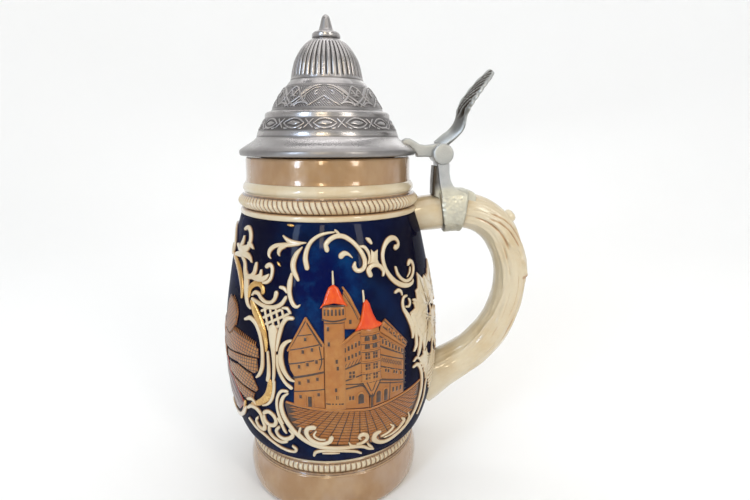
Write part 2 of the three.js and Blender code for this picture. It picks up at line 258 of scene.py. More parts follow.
def inside(polygon, u, v):
    """Whether the point lies in the polygon."""
    found = False
    for (u1, v1), (u2, v2) in zip(polygon, polygon[1:] + polygon[:1]):
        if (v1 > v) != (v2 > v) and u < (u2 - u1) * (v - v1) / (v2 - v1) + u1:
            found = not found
    return found


def distance_to_edge(polygon, u, v):
    """The distance from a point to the nearest side of the polygon."""
    best = 1e9
    for (u1, v1), (u2, v2) in zip(polygon, polygon[1:] + polygon[:1]):
        du, dv = u2 - u1, v2 - v1
        t = ((u - u1) * du + (v - v1) * dv) / max(du * du + dv * dv, 1e-9)
        t = min(max(t, 0.0), 1.0)
        best = min(best, math.hypot(u - u1 - t * du, v - v1 - t * dv))
    return best


def turns_left(outline):
    """The outline, turned so that it runs anticlockwise on the map."""
    area = sum(a[0] * b[1] - b[0] * a[1] for a, b in zip(outline, outline[1:] + outline[:1]))
    return list(outline) if area > 0 else list(reversed(outline))


def subdivided(outline, step):
    """The outline with points no further apart than one step."""
    out = []
    for (u1, v1), (u2, v2) in zip(outline, outline[1:] + outline[:1]):
        count = max(1, math.ceil(math.hypot(u2 - u1, v2 - v1) / step))
        out += [(u1 + (u2 - u1) * k / count, v1 + (v2 - v1) * k / count) for k in range(count)]
    return out


def inset(outline, depth):
    """The outline moved inward by the given depth."""
    out = []
    for before, here, after in zip(outline[-1:] + outline[:-1], outline, outline[1:] + outline[:1]):
        first = Vector((here[0] - before[0], here[1] - before[1]))
        second = Vector((after[0] - here[0], after[1] - here[1]))
        first = Vector((-first.y, first.x)).normalized()
        second = Vector((-second.y, second.x)).normalized()
        inward = (first + second) / 2
        scale = depth / max(inward.length_squared, 0.35)
        out.append((here[0] + inward.x * scale, here[1] + inward.y * scale))
    return out


def slab(mesh, surface, outline, height, bevel=0.3, base=0.0, grid=1.6, stain=1.0, top_stain=0.0):
    """A raised flat shape. The height is a number or a function of (u, v)."""
    rise = height if callable(height) else (lambda u, v: height)
    level = base if callable(base) else (lambda u, v: base)
    edge = subdivided(turns_left(outline), grid)
    inner = inset(edge, bevel)
    low_u, high_u = min(p[0] for p in inner), max(p[0] for p in inner)
    low_v, high_v = min(p[1] for p in inner), max(p[1] for p in inner)
    spots = []
    for i in range(1, int((high_u - low_u) / grid) + 1):
        for j in range(1, int((high_v - low_v) / grid) + 1):
            u, v = low_u + i * grid, low_v + j * grid
            if inside(inner, u, v) and distance_to_edge(inner, u, v) > grid * 0.4:
                spots.append((u, v))
    flat = [Vector(p) for p in inner + spots]
    rim = [list(range(len(inner)))]
    corners, _, triangles, *_ = delaunay_2d_cdt(flat, [], rim, 1, 1e-4)
    count = len(edge)
    start = len(mesh.points)
    # Darkest at the foot and half way up the sides: brown stain pooled there, which is also painted shade
    # at the foot and on the sides of the raised shape.
    for share, ring, dark in ((None, edge, 1.0), (0.1, edge, 1.0), (0.7, edge, 0.5)):
        for u, v in ring:
            lift = -0.25 if share is None else rise(u, v) * share
            mesh.points.append(surface.point(u, v, level(u, v) + lift))
            mesh.stains_and_shade.append(dark * stain)
    mesh.ring_faces(start, 3, count)
    top = len(mesh.points)
    for u, v in corners:
        mesh.points.append(surface.point(u, v, level(u, v) + rise(u, v)))
        mesh.stains_and_shade.append(top_stain)
    mesh.faces += [tuple(top + i for i in face) for face in triangles]
    upper = start + 2 * count
    nearest = [nearest_corner(corners, p) for p in inner]
    for j in range(count):
        a, b = nearest[j], nearest[(j + 1) % count]
        low_a, low_b = upper + j, upper + (j + 1) % count
        face = (low_a, low_b, top + b, top + a) if a != b else (low_a, low_b, top + a)
        mesh.faces.append(face)


def nearest_corner(corners, place):
    """The index of the corner at the given place."""
    place = Vector(place)
    return min(range(len(corners)), key=lambda i: (corners[i] - place).length_squared)


def pad(mesh, surface, corners, height, margin=0.12, base=0.0, stain=1.0, top_stain=0.0):
    """A small raised block on a few corners, such as a paving stone or a window pane."""
    level = base if callable(base) else (lambda u, v: base)
    corners = turns_left(corners)
    middle = (sum(c[0] for c in corners) / len(corners), sum(c[1] for c in corners) / len(corners))
    count = len(corners)
    start = len(mesh.points)
    # Darker at the foot and half way up: brown stain pooled round the block and in its joints, which is
    # also painted shade at its foot.
    for share, pull, dark in ((-1.0, 0.0, stain), (0.5, 0.0, stain * 0.6), (1.0, margin, top_stain)):
        for u, v in corners:
            away = math.hypot(u - middle[0], v - middle[1])
            keep = max(0.2, 1 - pull / max(away, 1e-3))
            pu, pv = middle[0] + (u - middle[0]) * keep, middle[1] + (v - middle[1]) * keep
            lift = height * share if share > 0 else -0.15
            mesh.points.append(surface.point(pu, pv, level(pu, pv) + lift))
            mesh.stains_and_shade.append(dark)
    mesh.capped_rows(start, 3, count)


def rectangle(u, v, width, height):
    """Corners of an upright rectangle about a centre."""
    return [(u - width / 2, v - height / 2), (u + width / 2, v - height / 2),
            (u + width / 2, v + height / 2), (u - width / 2, v + height / 2)]


def arch(u, v, width, height):
    """Corners of a rectangle with a round top, about a centre."""
    spring = v + height / 2 - width / 2
    top = [(u + width / 2 * math.cos(a), spring + width / 2 * math.sin(a))
           for a in (math.pi * k / 6 for k in range(7))]
    return [(u - width / 2, v - height / 2), (u + width / 2, v - height / 2)] + top


def hatch(mesh, surface, outline, angle, spacing, width, height, base=0.0, stain=1.0):
    """Parallel lines across a polygon, at an angle in degrees."""
    direction = (math.cos(math.radians(angle)), math.sin(math.radians(angle)))
    across = (-direction[1], direction[0])
    offsets = [p[0] * across[0] + p[1] * across[1] for p in outline]
    first = math.ceil(min(offsets) / spacing)
    for k in range(first, int(max(offsets) / spacing) + 1):
        offset = k * spacing
        cuts = []
        for (u1, v1), (u2, v2) in zip(outline, outline[1:] + outline[:1]):
            d1 = u1 * across[0] + v1 * across[1] - offset
            d2 = u2 * across[0] + v2 * across[1] - offset
            if (d1 > 0) != (d2 > 0):
                t = d1 / (d1 - d2)
                u, v = u1 + (u2 - u1) * t, v1 + (v2 - v1) * t
                cuts.append((u * direction[0] + v * direction[1], u, v))
        cuts.sort()
        for (_, ua, va), (_, ub, vb) in zip(cuts[::2], cuts[1::2]):
            if math.hypot(ub - ua, vb - va) > width:
                stroke(mesh, surface, [(ua, va, width), (ub, vb, width)], height, base, 1.6, stain)


def lathe(mesh, profile, count, shape=None, stain=None):
    """A closed outline turned about Z. shape moves a point, and stain gives its stain."""
    start = len(mesh.points)
    for radius, z in profile:
        for j in range(count):
            azimuth = 2 * math.pi * j / count
            r, height = shape(radius, z, azimuth) if shape else (radius, z)
            mesh.points.append(Vector((r * math.cos(azimuth), r * math.sin(azimuth), height)))
            mesh.stains_and_shade.append(stain(radius, z, azimuth) if stain else 0.0)
    mesh.looped_rows(start, len(profile), count)


def arc_points(radius, low, high, depth, count):
    """Points that bulge outward by depth between two heights."""
    return [(radius + depth * math.sin(math.pi * k / count), low + (high - low) * k / count)
            for k in range(count + 1)]


def band(outer, thickness):
    """A closed outline from an outer profile and a back that lies deeper in the wall."""
    return list(outer) + [(r - thickness, z) for r, z in reversed(outer)]

# ---------------------------------------------------------------- materials


class Finish:
    """A node material built step by step around one Principled shader."""

    def __init__(self, name, **sockets):
        self.material = bpy.data.materials.new(name)
        self.material.use_nodes = True
        self.tree = self.material.node_tree
        self.shader = self.tree.nodes["Principled BSDF"]
        for socket, value in sockets.items():
            self.shader.inputs[socket.replace("_", " ")].default_value = value
        self.place = self.node("ShaderNodeTexCoord").outputs["Object"]
        self.stain = self.node("ShaderNodeAttribute", attribute_name="stain").outputs["Fac"]

    def node(self, kind, inputs=None, **settings):
        """A new node with its inputs set or linked."""
        made = self.tree.nodes.new(kind)
        for setting, value in settings.items():
            setattr(made, setting, value)
        for socket, value in (inputs or {}).items():
            self.feed(made.inputs[socket], value)
        return made

    def feed(self, socket, value):
        """Links a socket to another one or sets its value."""
        if isinstance(value, bpy.types.NodeSocket):
            self.tree.links.new(value, socket)
        else:
            socket.default_value = value

    def set(self, socket, value):
        """Sets or links an input of the shader."""
        self.feed(self.shader.inputs[socket], value)

    def noise(self, scale, detail=3.0, roughness=0.5, stretch=(1, 1, 1)):
        """A noise between 0 and 1 whose scale is in features per metre."""
        place = self.node("ShaderNodeMapping", {"Vector": self.place, "Scale": stretch}).outputs["Vector"]
        made = self.node("ShaderNodeTexNoise", {"Vector": place, "Scale": scale, "Detail": detail,
                                                "Roughness": roughness})
        return made.outputs["Fac"]

    def ramp(self, value, low, high):
        """The value stretched so that low becomes 0 and high becomes 1, smoothly."""
        made = self.node("ShaderNodeMapRange", {"Value": value, "From Min": low, "From Max": high},
                         interpolation_type="SMOOTHSTEP")
        return made.outputs["Result"]

    def math(self, operation, a, b):
        """The result of an arithmetic operation on two values."""
        return self.node("ShaderNodeMath", {0: a, 1: b}, operation=operation).outputs[0]

    def mix(self, share, first, second):
        """A colour between two colours."""
        made = self.node("ShaderNodeMix", data_type="RGBA")
        self.feed(made.inputs["Factor"], share)
        for socket, colour in ((made.inputs[6], first), (made.inputs[7], second)):
            self.feed(socket, colour if isinstance(colour, bpy.types.NodeSocket) else (*colour, 1.0))
        return made.outputs[2]

    def bump(self, height, strength, distance):
        """Fine unevenness of the surface."""
        made = self.node("ShaderNodeBump", {"Height": height, "Strength": strength, "Distance": distance})
        self.set("Normal", made.outputs["Normal"])


# The brown stain where it lies thickest; at the foot of the relief it also stands for painted shade.
STAIN_AND_SHADE_BROWN = (0.050, 0.020, 0.008)


def glaze_finish(name, roughness=0.12):
    """A glossy glaze: a coloured body under a clear coat."""
    return Finish(name, Roughness=roughness + 0.18, Coat_Weight=1.0, Coat_Roughness=0.05, Coat_IOR=1.45)


def cobalt_glaze():
    """Deep cobalt that breaks from near black to a bright blue where it ran thin."""
    f = glaze_finish("cobalt_glaze")
    f.set("Specular IOR Level", 0.0)
    f.set("Coat Weight", 0.16)
    clouds = f.ramp(f.noise(38, 3.0, 0.6, (1, 1, 0.7)), 0.42, 0.68)
    thin = f.ramp(f.noise(160, 4.0, 0.65), 0.40, 0.75)
    inner = f.mix(clouds, (0.0015, 0.004, 0.045), (0.002, 0.038, 0.14))
    inner = f.mix(f.math("MULTIPLY", thin, 0.35), inner, (0.004, 0.075, 0.22))
    outer = f.mix(f.math("MULTIPLY", clouds, 0.55), (0.0020, 0.0022, 0.012), (0.004, 0.010, 0.050))
    f.set("Base Color", f.mix(f.stain, outer, inner))
    f.bump(f.noise(420, 2.0), 0.10, 0.0004)
    return f.material


def ivory_glaze():
    """Cream glaze with brown stain caught in the hollows and a faint warm blush. The stain also paints
    shade at the foot of the relief and a little on the handle's inner side.
    """
    f = glaze_finish("ivory_glaze")
    blush = f.ramp(f.noise(55, 4.0, 0.6), 0.40, 0.75)
    speck = f.ramp(f.noise(900, 3.0, 0.6), 0.66, 0.78)
    cream = f.mix(blush, (0.58, 0.495, 0.345), (0.52, 0.395, 0.228))
    cream = f.mix(f.math("MULTIPLY", speck, 0.35), cream, (0.48, 0.32, 0.17))
    stain_and_shade_level = f.math("ADD", f.stain, f.math("MULTIPLY", f.math("SUBTRACT", f.noise(700, 3.0), 0.5), 0.25))
    tan = f.mix(f.ramp(stain_and_shade_level, 0.12, 0.5), cream, (0.42, 0.25, 0.12))
    f.set("Base Color", f.mix(f.ramp(stain_and_shade_level, 0.5, 0.92), tan, STAIN_AND_SHADE_BROWN))
    f.bump(f.noise(500, 2.0), 0.12, 0.0003)
    return f.material


def caramel_glaze():
    """Thin caramel wash over cream, darker where it pools; at the foot and on the sides of the relief the
    darkening is also painted shade.
    """
    f = glaze_finish("caramel_glaze")
    f.set("Specular IOR Level", 0.25)
    f.set("Coat Weight", 0.45)
    wash = f.ramp(f.noise(60, 4.0, 0.65), 0.36, 0.70)
    fine = f.ramp(f.noise(420, 4.0, 0.65), 0.38, 0.72)
    warm = f.mix(wash, (0.345, 0.128, 0.026), (0.38, 0.175, 0.048))
    warm = f.mix(f.math("MULTIPLY", fine, 0.5), warm, (0.28, 0.090, 0.017))
    pooled_and_shaded = f.mix(f.ramp(f.stain, 0.05, 0.5), warm, (0.17, 0.050, 0.012))
    f.set("Base Color", f.mix(f.ramp(f.stain, 0.5, 0.95), pooled_and_shaded, STAIN_AND_SHADE_BROWN))
    f.bump(f.noise(600, 3.0), 0.2, 0.0003)
    return f.material


def brown_stain():
    """Dark brown stain of the drawn lines and the window panes."""
    f = glaze_finish("brown_stain")
    f.set("Coat Weight", 0.35)
    patchy = f.ramp(f.noise(500, 3.0), 0.35, 0.7)
    f.set("Base Color", f.mix(patchy, (0.022, 0.009, 0.005), (0.060, 0.024, 0.010)))
    f.bump(f.noise(600, 2.0), 0.1, 0.0002)
    return f.material


def orange_glaze():
    """Vivid orange-red enamel of the turret roofs."""
    f = glaze_finish("orange_glaze")
    f.set("Coat Weight", 0.6)
    f.set("Specular IOR Level", 0.2)
    streak = f.ramp(f.noise(260, 3.0, 0.6, (1, 1, 0.4)), 0.38, 0.72)
    enamel = f.mix(streak, (0.60, 0.042, 0.003), (0.70, 0.10, 0.006))
    f.set("Base Color", f.mix(f.ramp(f.stain, 0.4, 1.0), enamel, (0.085, 0.016, 0.010)))
    f.bump(f.noise(420, 2.0), 0.15, 0.0003)
    return f.material


def gold_lustre():
    """Fired gold lustre, worn thin in places."""
    f = Finish("gold_lustre", Metallic=0.75, Roughness=0.25, Coat_Weight=0.8, Coat_Roughness=0.06)
    worn = f.ramp(f.noise(330, 4.0, 0.65), 0.42, 0.72)
    gold = f.mix(worn, (0.52, 0.29, 0.07), (0.68, 0.44, 0.15))
    f.set("Base Color", f.mix(f.ramp(f.stain, 0.3, 1.0), gold, (0.16, 0.065, 0.015)))
    rough = f.node("ShaderNodeMapRange", {"Value": worn, "To Min": 0.18, "To Max": 0.38})
    f.set("Roughness", rough.outputs["Result"])
    f.bump(f.noise(500, 2.0), 0.2, 0.0003)
    return f.material


def lustre_glaze():
    """Caramel lustre in cloudy streaks, with a thin pearly film over a gently uneven surface."""
    f = Finish("lustre_glaze", Metallic=0.25, Roughness=0.26, Coat_Weight=1.0, Coat_Roughness=0.03,
               Thin_Film_Thickness=330.0, Thin_Film_IOR=1.45)
    streaks = f.ramp(f.noise(95, 3.0, 0.6, (1, 1, 0.6)), 0.36, 0.70)
    clouds = f.ramp(f.noise(45, 3.0, 0.6), 0.45, 0.70)
    caramel = f.mix(streaks, (0.31, 0.168, 0.062), (0.38, 0.235, 0.112))
    caramel = f.mix(f.math("MULTIPLY", clouds, 0.55), caramel, (0.38, 0.272, 0.195))
    f.set("Base Color", f.mix(f.stain, caramel, (0.20, 0.09, 0.03)))
    f.bump(f.noise(150, 3.0, 0.6), 0.30, 0.0008)
    return f.material


def bare_stoneware():
    """Unglazed, slightly gritty clay under the foot."""
    f = Finish("bare_stoneware", Roughness=0.85)
    grit = f.ramp(f.noise(1500, 4.0, 0.7), 0.3, 0.75)
    f.set("Base Color", f.mix(grit, (0.50, 0.43, 0.34), (0.66, 0.59, 0.48)))
    f.bump(grit, 0.35, 0.0002)
    return f.material


def pewter(name, bright, dark, roughness, grain, strength):
    """Cast pewter: bright where it is rubbed, dark where the stain says that it is hollow, and on the lid's
    rim dark as painted shade.
    """
    f = Finish(name, Metallic=1.0)
    cloud = f.ramp(f.noise(70, 4.0, 0.65), 0.32, 0.72)
    fine = f.noise(grain, 4.0, 0.65)
    tone = f.mix(cloud, bright, tuple(c * 0.84 for c in bright))
    f.set("Base Color", f.mix(f.ramp(f.stain, 0.1, 0.9), tone, dark))
    rough = f.math("ADD", f.math("MULTIPLY", cloud, 0.10), roughness)
    f.set("Roughness", f.math("ADD", rough, f.math("MULTIPLY", f.stain, 0.18)))
    f.bump(fine, strength, 0.0003)
    return f.material


def shank_pewter():
    """The hinge's pewter, paler and warmer below about 130 mm where the saddle sits on the handle, and dark
    on the rib's front face as painted shade.
    """
    f = Finish("shank_pewter", Metallic=0.92)
    height = f.node("ShaderNodeSeparateXYZ", {"Vector": f.place}).outputs["Z"]
    uneven = f.math("MULTIPLY", f.noise(260, 3.0), 0.003)
    upright = f.ramp(f.math("ADD", height, uneven), 0.1285, 0.1325)
    cloud = f.ramp(f.noise(120, 4.0, 0.65), 0.32, 0.72)
    tone = f.mix(cloud, f.mix(upright, (0.60, 0.585, 0.49), (0.46, 0.47, 0.475)),
                 f.mix(upright, (0.47, 0.455, 0.38), (0.36, 0.37, 0.38)))
    # The stain darkens the rib's front face: painted shade.
    f.set("Base Color", f.mix(f.ramp(f.stain, 0.1, 0.9), tone, (0.055, 0.042, 0.030)))
    f.set("Roughness", f.math("ADD", f.math("MULTIPLY", cloud, 0.10), 0.36))
    f.bump(f.noise(1000, 4.0, 0.65), 0.40, 0.0003)
    return f.material


def hammered_pewter():
    """The strap's hammered pewter, tinted warm as a painted reflection of the handle's glaze under it."""
    f = Finish("hammered_pewter", Metallic=0.85)
    dents = f.node("ShaderNodeTexVoronoi", {"Vector": f.place, "Scale": 640.0}).outputs["Distance"]
    cloud = f.ramp(f.noise(160, 4.0, 0.65), 0.35, 0.7)
    # Painted reflection: the warm tone stands for the handle's glaze reflected in the strap.
    tone = f.mix(cloud, (0.58, 0.56, 0.46), (0.455, 0.44, 0.375))
    f.set("Base Color", f.mix(f.ramp(f.stain, 0.1, 0.9), tone, (0.20, 0.18, 0.13)))
    f.set("Roughness", f.math("ADD", f.math("MULTIPLY", cloud, 0.12), 0.36))
    f.bump(dents, 0.5, 0.0006)
    return f.material


COBALT = cobalt_glaze()
IVORY = ivory_glaze()
CARAMEL = caramel_glaze()
BROWN_STAIN = brown_stain()
ORANGE = orange_glaze()
GOLD = gold_lustre()
LUSTRE = lustre_glaze()
BARE = bare_stoneware()
PEWTER_LID = pewter("pewter_lid", (0.42, 0.40, 0.395), (0.045, 0.039, 0.036), 0.22, 900, 0.22)
PEWTER_HINGE = pewter("pewter_hinge", (0.46, 0.465, 0.45), (0.055, 0.042, 0.030), 0.36, 1200, 0.40)
SHANK = shank_pewter()
STRAP = hammered_pewter()

# ---------------------------------------------------------------- the turned stoneware

REFERENCE = 45.0                         # u is measured along an arc of this radius
PANEL_AZIMUTH = -72.0                    # the front scene's centre line
REAR_U = -REFERENCE * math.radians(180.0 + PANEL_AZIMUTH)        # u opposite the handle
belly = Turned(BELLY, REFERENCE, PANEL_AZIMUTH, BELLY_LIMIT)

ROPE_BEADS = 108
FOOT_BEADS = 104
POINTS_PER_BEAD = 8
RING_AROUND = 192                        # points round a smooth ring
BELLY_AROUND = 256
WALL_SKIN = 2.0                          # thickness of the turned outer surfaces
# Outline of the front panel, inside which the blue runs bright.
PANEL_EDGE = [(-24, 112), (-27, 100), (-26, 88), (-25, 70), (-27, 52), (-18, 38), (0, 35), (15, 36),
              (26, 48), (24, 62), (22, 78), (18, 92), (12, 100), (4, 105), (2, 112), (-8, 116), (-18, 114)]


def belly_glaze():
    """The cobalt wall between the mouldings. Its stain marks where the blue runs bright."""
    mesh = Mesh()
    outer = spline(BELLY, 1.6)[:, :2].tolist()

    def bright(radius, z, azimuth):
        turn = (math.degrees(azimuth) + 180) % 360 - 180
        u = math.radians(-abs(turn) - PANEL_AZIMUTH) * REFERENCE
        near = distance_to_edge(PANEL_EDGE, u, z)
        inner = blend_step(0, 6, near) if inside(PANEL_EDGE, u, z) else 0.0
        fade = 1 - 0.85 * blend_step(-4, 10, u)
        return inner * fade + 0.25 * blend_step(-45, -25, u) * (1 - blend_step(-20, 5, u))

    lathe(mesh, band(outer, WALL_SKIN), BELLY_AROUND, stain=bright)
    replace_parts(mesh.piece("belly_glaze", COBALT, "cobalt_glaze", "mug"), "stoneware_body")


def beaded_ring(mesh, radius, low, high, depth, beads, slant):
    """A ring moulding cut into beads. The stain fills the cuts between them."""
    middle = (low + high) / 2

    def phase(z, azimuth):
        return azimuth * beads / (2 * math.pi) + slant * (z - middle) / (high - low)

    def cut(z, azimuth):
        return abs(math.cos(math.pi * phase(z, azimuth))) ** 0.75

    def shape(r, z, azimuth):
        if r < radius:
            return r, z
        full = (r - radius) / depth
        return radius + depth * full * (0.48 + 0.52 * cut(z, azimuth)), z

    def stain(r, z, azimuth):
        full = (r - radius) / depth
        return max(1 - blend_step(0.25, 0.72, cut(z, azimuth)), 1 - blend_step(0.0, 0.5, full)) * 0.95

    outer = arc_points(radius, low, high, depth, 12)
    lathe(mesh, band(outer, 1.5), beads * POINTS_PER_BEAD, shape, stain)


def plain_ring(mesh, outer, stained):
    """A smooth ring moulding, stained near the heights that are listed."""

    def stain(r, z, azimuth):
        return max(1 - blend_step(0.15, 0.75, abs(z - place)) for place in stained) * 0.75

    lathe(mesh, band(outer, WALL_SKIN), RING_AROUND, stain=stain)


def shoulder_rings():
    """Cream mouldings between the belly and the neck, with the rope ring."""
    mesh = Mesh()
    lower = [(36.25, 119.6), (36.45, 119.9), (36.5, 120.5), (36.45, 121.2), (36.1, 121.7), (35.5, 122.0)]
    plain_ring(mesh, lower, [122.0])
    beaded_ring(mesh, 35.3, 122.0, 127.2, 1.95, ROPE_BEADS, 0.9)
    upper = [(35.0, 127.1), (34.6, 127.5)] + arc_points(34.3, 127.7, 131.6, 1.0, 10) + [(34.0, 132.0)]
    plain_ring(mesh, upper, [127.3])
    mesh.piece("shoulder_rings", IVORY, "ivory_glaze", "mug")


def foot_rings():
    """Cream mouldings between the belly and the foot, with the bead ring."""
    mesh = Mesh()
    upper = [(35.4, 21.3), (35.1, 21.7), (34.9, 22.0), (34.6, 22.5)]
    plain_ring(mesh, upper, [21.4])
    beaded_ring(mesh, 35.3, 17.6, 21.4, 1.25, FOOT_BEADS, 0.0)
    lower = [(36.5, 16.3), (36.6, 16.6), (36.35, 16.9), (36.0, 17.05), (36.1, 17.3), (35.9, 17.5),
             (35.4, 17.7)]
    plain_ring(mesh, lower, [17.0, 17.7])
    mesh.piece("foot_rings", IVORY, "ivory_glaze", "mug")


def neck_lustre():
    """The plain lustre neck up to the rounded lip."""
    mesh = Mesh()
    outer = [(34.0, 131.9), (33.85, 132.3), (33.7, 134.0), (33.65, 138.0), (33.6, 140.6), (33.4, 141.2),
             (33.0, LIP_HEIGHT - 0.05), (32.6, LIP_HEIGHT)]
    lathe(mesh, outer + [(31.2, LIP_HEIGHT), (31.0, 141.0), (31.0, 132.0)], RING_AROUND)
    mesh.piece("neck_lustre", LUSTRE, "lustre_glaze", "mug")


def foot_lustre():
    """The flared lustre foot, open in the middle where the bare clay shows."""
    mesh = Mesh()
    outer = [(36.6, 16.4), (36.9, 15.2), (37.45, 13.0), (37.95, 10.4), (38.18, 8.0), (38.1, 5.6),
             (37.9, 3.4), (37.5, 1.8), (37.0, 0.9), (36.2, 0.3), (35.0, 0.0)]
    smooth = spline(outer, 0.8)[:, :2].tolist()
    lathe(mesh, smooth + [(34.0, 0.0), (33.2, 0.5), (32.8, 3.0), (33.0, 16.4)], RING_AROUND)
    mesh.piece("foot_lustre", LUSTRE, "lustre_glaze", "mug")


def foot_underside():
    """The bare clay under the foot: a wire-cut face with turning marks, just clear of the table."""
    mesh = Mesh()
    radii = [1.0 + 0.8 * k for k in range(40)]
    face = [(r, 0.45 + 0.12 * math.sin(r * 2.6)) for r in radii]
    lathe(mesh, face + [(33.1, 0.5), (33.1, 3.0), (1.0, 3.0)], 96)
    mesh.piece("foot_underside", BARE, "bare_stoneware", "mug")


def inner_glaze():
    """The glazed inside from the lip down over the floor."""
    mesh = Mesh()
    wall = spline(CAVITY, 3.0)[:, :2].tolist()
    inner = [(31.3, LIP_HEIGHT - 0.02), (30.2, 141.55), (29.4, 141.2), (28.95, 140.5)] + wall
    floor = [(24.5, 7.0), (12.0, 7.1), (1.0, 7.0)]
    back = [(1.0, 5.0), (26.0, 5.0), (31.0, 8.5), (34.0, 17.0)]
    rise = [(r + 2.0, z) for r, z in reversed(wall) if 20 < z < 130]
    lathe(mesh, inner + floor + back + rise + [(31.1, 131.0), (31.4, 141.0)], 128)
    mesh.piece("inner_glaze", IVORY, "ivory_glaze", "mug")


# ---------------------------------------------------------------- relief: scrolls of the front panel

